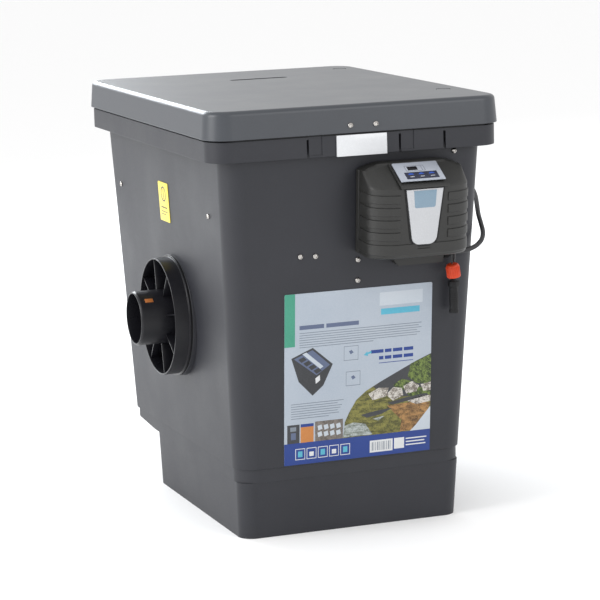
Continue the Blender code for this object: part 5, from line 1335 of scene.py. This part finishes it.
# ---- labels ----
pictureLabel = {
    "size": (0.309, 0.345),
    "radius": 0.003,
    "layer": 0.00005,           # each layer of print stands this much higher
    "sunk": 0.0002,             # print is rooted this deep in the sheet
    # left, top, right, bottom as shares of the label, the print's finish and its layer
    "patches": (
        (0.000, 0.000, 0.070, 0.305, "printGreen", 1), (0.650, 0.130, 0.915, 0.165, "printCyan", 1),
        (0.640, 0.035, 0.935, 0.112, "printPale", 1),
        (0.100, 0.186, 0.265, 0.210, "printSlate", 1), (0.280, 0.186, 0.500, 0.210, "printSlate", 1),
        (0.640, 0.446, 0.875, 0.450, "printBlue", 1),
        (0.020, 0.762, 0.103, 0.872, "printDark", 1), (0.040, 0.775, 0.080, 0.800, "printGrey", 2),
        (0.045, 0.810, 0.078, 0.850, "printSlate", 2),
        (0.110, 0.762, 0.198, 0.780, "printBlue", 1), (0.110, 0.780, 0.198, 0.872, "printOrange", 1),
        (0.208, 0.755, 0.398, 0.872, "printBrown", 1),
        (0.000, 0.872, 1.000, 1.000, "printBlue", 3),
        (0.583, 0.906, 0.741, 0.977, "printWhite", 4), (0.751, 0.906, 0.821, 0.970, "printWhite", 4),
        (0.832, 0.912, 0.976, 0.919, "printWhite", 4), (0.832, 0.931, 0.962, 0.938, "printWhite", 4),
        (0.832, 0.950, 0.970, 0.957, "printWhite", 4),
    ),
    # top of each row of blue blocks, and the left and right of its first one
    "blockRows": ((0.368, 0.585, 0.670), (0.408, 0.640, 0.670)),
    "blockEnds": ((0.680, 0.725), (0.735, 0.800), (0.810, 0.875)),
    "blockHeight": 0.020,
    # left, top of the first line, pitch, right end of each line
    "fineLines": ((0.10, 0.228, 0.0138, (0.93, 0.91, 0.93, 0.90, 0.92, 0.90, 0.60)),
                  (0.045, 0.640, 0.0142, (0.40, 0.36, 0.39, 0.38, 0.36, 0.37, 0.30))),
    "fineHeight": 0.0042,
    "badges": (0.075, 0.1515, 0.228, 0.3045, 0.381),
    "bars": (11, 0.597, 0.0125),        # count, first, pitch
    "sketches": ((0.400, 0.330), (0.415, 0.480)),
    "sketchSize": (0.098, 0.085),
    "sketchShape": ((0.034, 0.032), (0.052, 0.024), (0.066, 0.040), (0.046, 0.050)),
    # finish, layer and outline: the pond, its banks, water, bushes, stones and shade
    "pond": (
        ("pondWater", 1, ((1.0, 0.42), (0.9, 0.455), (0.794, 0.499), (0.65, 0.56), (0.554, 0.605),
                          (0.487, 0.653), (0.439, 0.723), (0.41, 0.778), (0.4, 0.872), (1.0, 0.872))),
        ("pondBank", 2, ((0.7, 0.705), (0.86, 0.7), (1.0, 0.712), (0.97, 0.79), (0.9, 0.868), (0.79, 0.868),
                         (0.8, 0.8), (0.74, 0.745))),
        ("pondShine", 2, ((0.405, 0.8), (0.47, 0.785), (0.55, 0.8), (0.6, 0.868), (0.405, 0.868))),
        ("pondShine", 2, ((0.6, 0.775), (0.68, 0.765), (0.64, 0.79))),
        ("printDark", 2, ((1.0, 0.42), (0.9, 0.455), (0.794, 0.499), (0.65, 0.56), (0.6, 0.585),
                          (0.72, 0.66), (1.0, 0.665))),
        ("pondLeaves", 3, ((0.86, 0.47), (1.0, 0.425), (1.0, 0.6), (0.9, 0.59), (0.84, 0.545))),
        ("pondLeaves", 3, ((0.74, 0.585), (0.8, 0.555), (0.87, 0.575), (0.85, 0.62), (0.77, 0.625))),
        ("pondLeaves", 3, ((0.82, 0.625), (0.9, 0.61), (1.0, 0.632), (1.0, 0.665), (0.86, 0.672))),
        ("pondRocks", 4, ((0.57, 0.625), (0.64, 0.595), (0.71, 0.6), (0.69, 0.65), (0.6, 0.665))),
        ("pondRocks", 4, ((0.69, 0.64), (0.74, 0.6), (0.8, 0.61), (0.81, 0.655), (0.74, 0.68))),
        ("pondRocks", 4, ((0.81, 0.6), (0.87, 0.575), (0.92, 0.605), (0.9, 0.64), (0.83, 0.645))),
        ("pondRocks", 4, ((0.93, 0.6), (1.0, 0.59), (1.0, 0.64), (0.95, 0.64))),
        ("pondRocks", 4, ((0.84, 0.69), (0.93, 0.665), (1.0, 0.67), (1.0, 0.705), (0.9, 0.715))),
        ("printDark", 4, ((0.7, 0.69), (0.83, 0.668), (0.97, 0.655), (0.99, 0.668), (0.84, 0.69),
                          (0.74, 0.703))),
        ("printDark", 4, ((0.52, 0.745), (0.62, 0.73), (0.74, 0.722), (0.66, 0.752), (0.56, 0.765))),
        ("printPale", 4, ((0.86, 0.872), (0.9, 0.84), (1.0, 0.735), (1.0, 0.872))),
    ),
    # the same for the small open tank
    "tank": (
        ("printDark", 2, ((0.046, 0.372), (0.19, 0.32), (0.325, 0.425), (0.262, 0.545), (0.19, 0.6),
                          (0.096, 0.512))),
        ("printSlate", 3, ((0.064, 0.377), (0.188, 0.333), (0.306, 0.428), (0.215, 0.482))),
    ),
    # its bar, plate and the arrow beside it
    "tankTop": (
        ("printPale", 4, ((0.12, 0.352), (0.146, 0.343), (0.262, 0.434), (0.24, 0.446))),
        ("printWhite", 3, ((0.208, 0.5), (0.238, 0.482), (0.24, 0.514), (0.211, 0.532))),
        ("printCyan", 2, ((0.535, 0.392), (0.56, 0.372), (0.56, 0.38), (0.586, 0.372), (0.588, 0.384),
                          (0.562, 0.39), (0.566, 0.4))),
    ),
}


def makePictureLabel():
    own = pictureLabel
    width, height = own["size"]
    finishNames = [name for name, slot in slotOf.items() if slot == "printed_label"]
    bm = bmesh.new()
    addPlate(bm, roundedOutline(0, 0, width, height, own["radius"]), labelThickness, labelThickness, 0.0002)

    def stick(outline, name, layer=1):
        rise = own["layer"] * layer
        addPlate(bm, [(u * width, (1 - v) * height) for u, v in outline], labelThickness + rise,
                 own["sunk"] + rise, 0.00001, finishIndex=finishNames.index(name))

    def block(u0, v0, u1, v1, name, layer=1):
        stick(((u0, v0), (u0, v1), (u1, v1), (u1, v0)), name, layer)

    for name, layer, outline in own["pond"]:
        stick(outline, name, layer)
    for patch in own["patches"]:
        block(*patch)
    for top, *first in own["blockRows"]:
        for left, right in (first, *own["blockEnds"]):
            block(left, top, right, top + own["blockHeight"], "printBlue")
    for left, start, pitch, ends in own["fineLines"]:
        for number, right in enumerate(ends):
            top = start + number * pitch
            block(left, top, right, top + own["fineHeight"], "printGrey")
    for number, u in enumerate(own["badges"]):
        odd = number % 2
        block(u, 0.906, u + 0.066, 0.972, "printWhite", 4)
        block(u + 0.004, 0.910, u + 0.062, 0.968, "printBlue", 5)
        block(u + 0.018, 0.922 + 0.008 * odd, u + 0.048, 0.956, "printWhite" if odd else "printCyan", 6)
    # bars in the pale block
    count, first, pitch = own["bars"]
    for number in range(count):
        u = first + number * pitch
        block(u, 0.916, u + (0.004 if number % 3 else 0.007), 0.967, "printGrey", 5)
    for name, layer, outline in own["tank"]:
        stick(outline, name, layer)
    for row in range(4):
        u, v = 0.092 + row * 0.034, 0.382 + row * 0.024
        cell = ((u, v), (u + 0.036, v - 0.014), (u + 0.058, v + 0.004), (u + 0.022, v + 0.020))
        stick(cell, "printDark", 4)
    for name, layer, outline in own["tankTop"]:
        stick(outline, name, layer)
    # two outlined sketches
    wide, deep = own["sketchSize"]
    for u, v in own["sketches"]:
        block(u, v, u + wide, v + 0.0035, "printGrey")
        block(u, v + deep - 0.0035, u + wide, v + deep, "printGrey")
        block(u, v, u + 0.003, v + deep, "printGrey")
        block(u + wide - 0.003, v, u + wide, v + deep, "printGrey")
        stick([(u + across, v + down) for across, down in own["sketchShape"]], "printSlate")
    # cells in the small brown picture
    for number in range(8):
        u, v = 0.224 + 0.042 * (number % 4), 0.782 + 0.040 * (number // 4)
        cell = ((u, v), (u + 0.028, v - 0.006), (u + 0.034, v + 0.020), (u + 0.006, v + 0.027))
        stick(cell, "printPale", 2)
    makePiece("pictureLabel", bm, finishNames, replaces=["picture_label"], place=labelFrame @ upright)


# plain motifs: a ring with an upright bar above three short lines
yellowLabel = {
    "radius": 0.003,
    "print": 0.0001,
    "ring": (0.0125, 0.0155, 0.70),     # inner and outer radius, height as a share of the label
    "bar": (0.0013, 0.010),             # half width, half height
    "lines": ((0.19, 0.34, 0.81, 0.37), (0.19, 0.24, 0.81, 0.26), (0.19, 0.17, 0.62, 0.19)),
}


def makeYellowLabel():
    own = yellowLabel
    low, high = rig.box("yellow_label")
    lean, along = leanOf("yellow_label", labelThickness, 0)
    width, rise = high.y - low.y, labelThickness + own["print"]
    bm = bmesh.new()
    addPlate(bm, roundedOutline(0, 0, width, along, own["radius"]), labelThickness, labelThickness, 0.0002)
    inner, outer, ringAt = own["ring"]
    ring = spunShape([(inner, rise), (outer, rise), (outer, 0.0006), (inner, 0.0006)], 0.00003, 40)
    bmesh.ops.translate(ring, verts=ring.verts, vec=(width / 2, along * ringAt, 0))
    sheetFaces = set(bm.faces)
    bm.from_mesh(meshFrom("ring", ring))
    for face in set(bm.faces) - sheetFaces:
        face.material_index = 1
    barX, barY = own["bar"]
    blocks = [(width * x0, along * y0, width * x1, along * y1) for x0, y0, x1, y1 in own["lines"]]
    blocks.append((width / 2 - barX, along * ringAt - barY, width / 2 + barX, along * ringAt + barY))
    for x0, y0, x1, y1 in blocks:
        addPlate(bm, ((x0, y0), (x1, y0), (x1, y1), (x0, y1)), rise, 0.0003, 0.00002, finishIndex=1)
    # X along the wall toward the front, Y up the wall, Z out of the wall
    axes = Matrix(((0, 0, -1, 0), (-1, 0, 0, 0), (0, 1, 0, 0), (0, 0, 0, 1)))
    corner = Matrix.Translation((high.x, high.y, low.z + labelThickness * math.sin(lean)))
    makePiece("yellowLabel", bm, ["yellowFilm", "blackPrint"], replaces=["yellow_label"],
              place=corner @ Matrix.Rotation(-lean, 4, "Y") @ axes)


makePictureLabel()
makeYellowLabel()
print("labels ready")


# ---- filter foams ----
foams = {"count": 4, "radius": 0.0035}
for number in range(1, foams["count"] + 1):
    makeBlock(f"foam_{number}Block", f"foam_{number}", "filterFoam", foams["radius"])
print("foams ready")

with open("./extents.json", "w") as sizeFile:
    json.dump({"cad": [list(map(float, corner)) for corner in cadBox],
               "visual": [list(map(float, corner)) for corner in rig.bounds()]}, sizeFile)
print("finished")
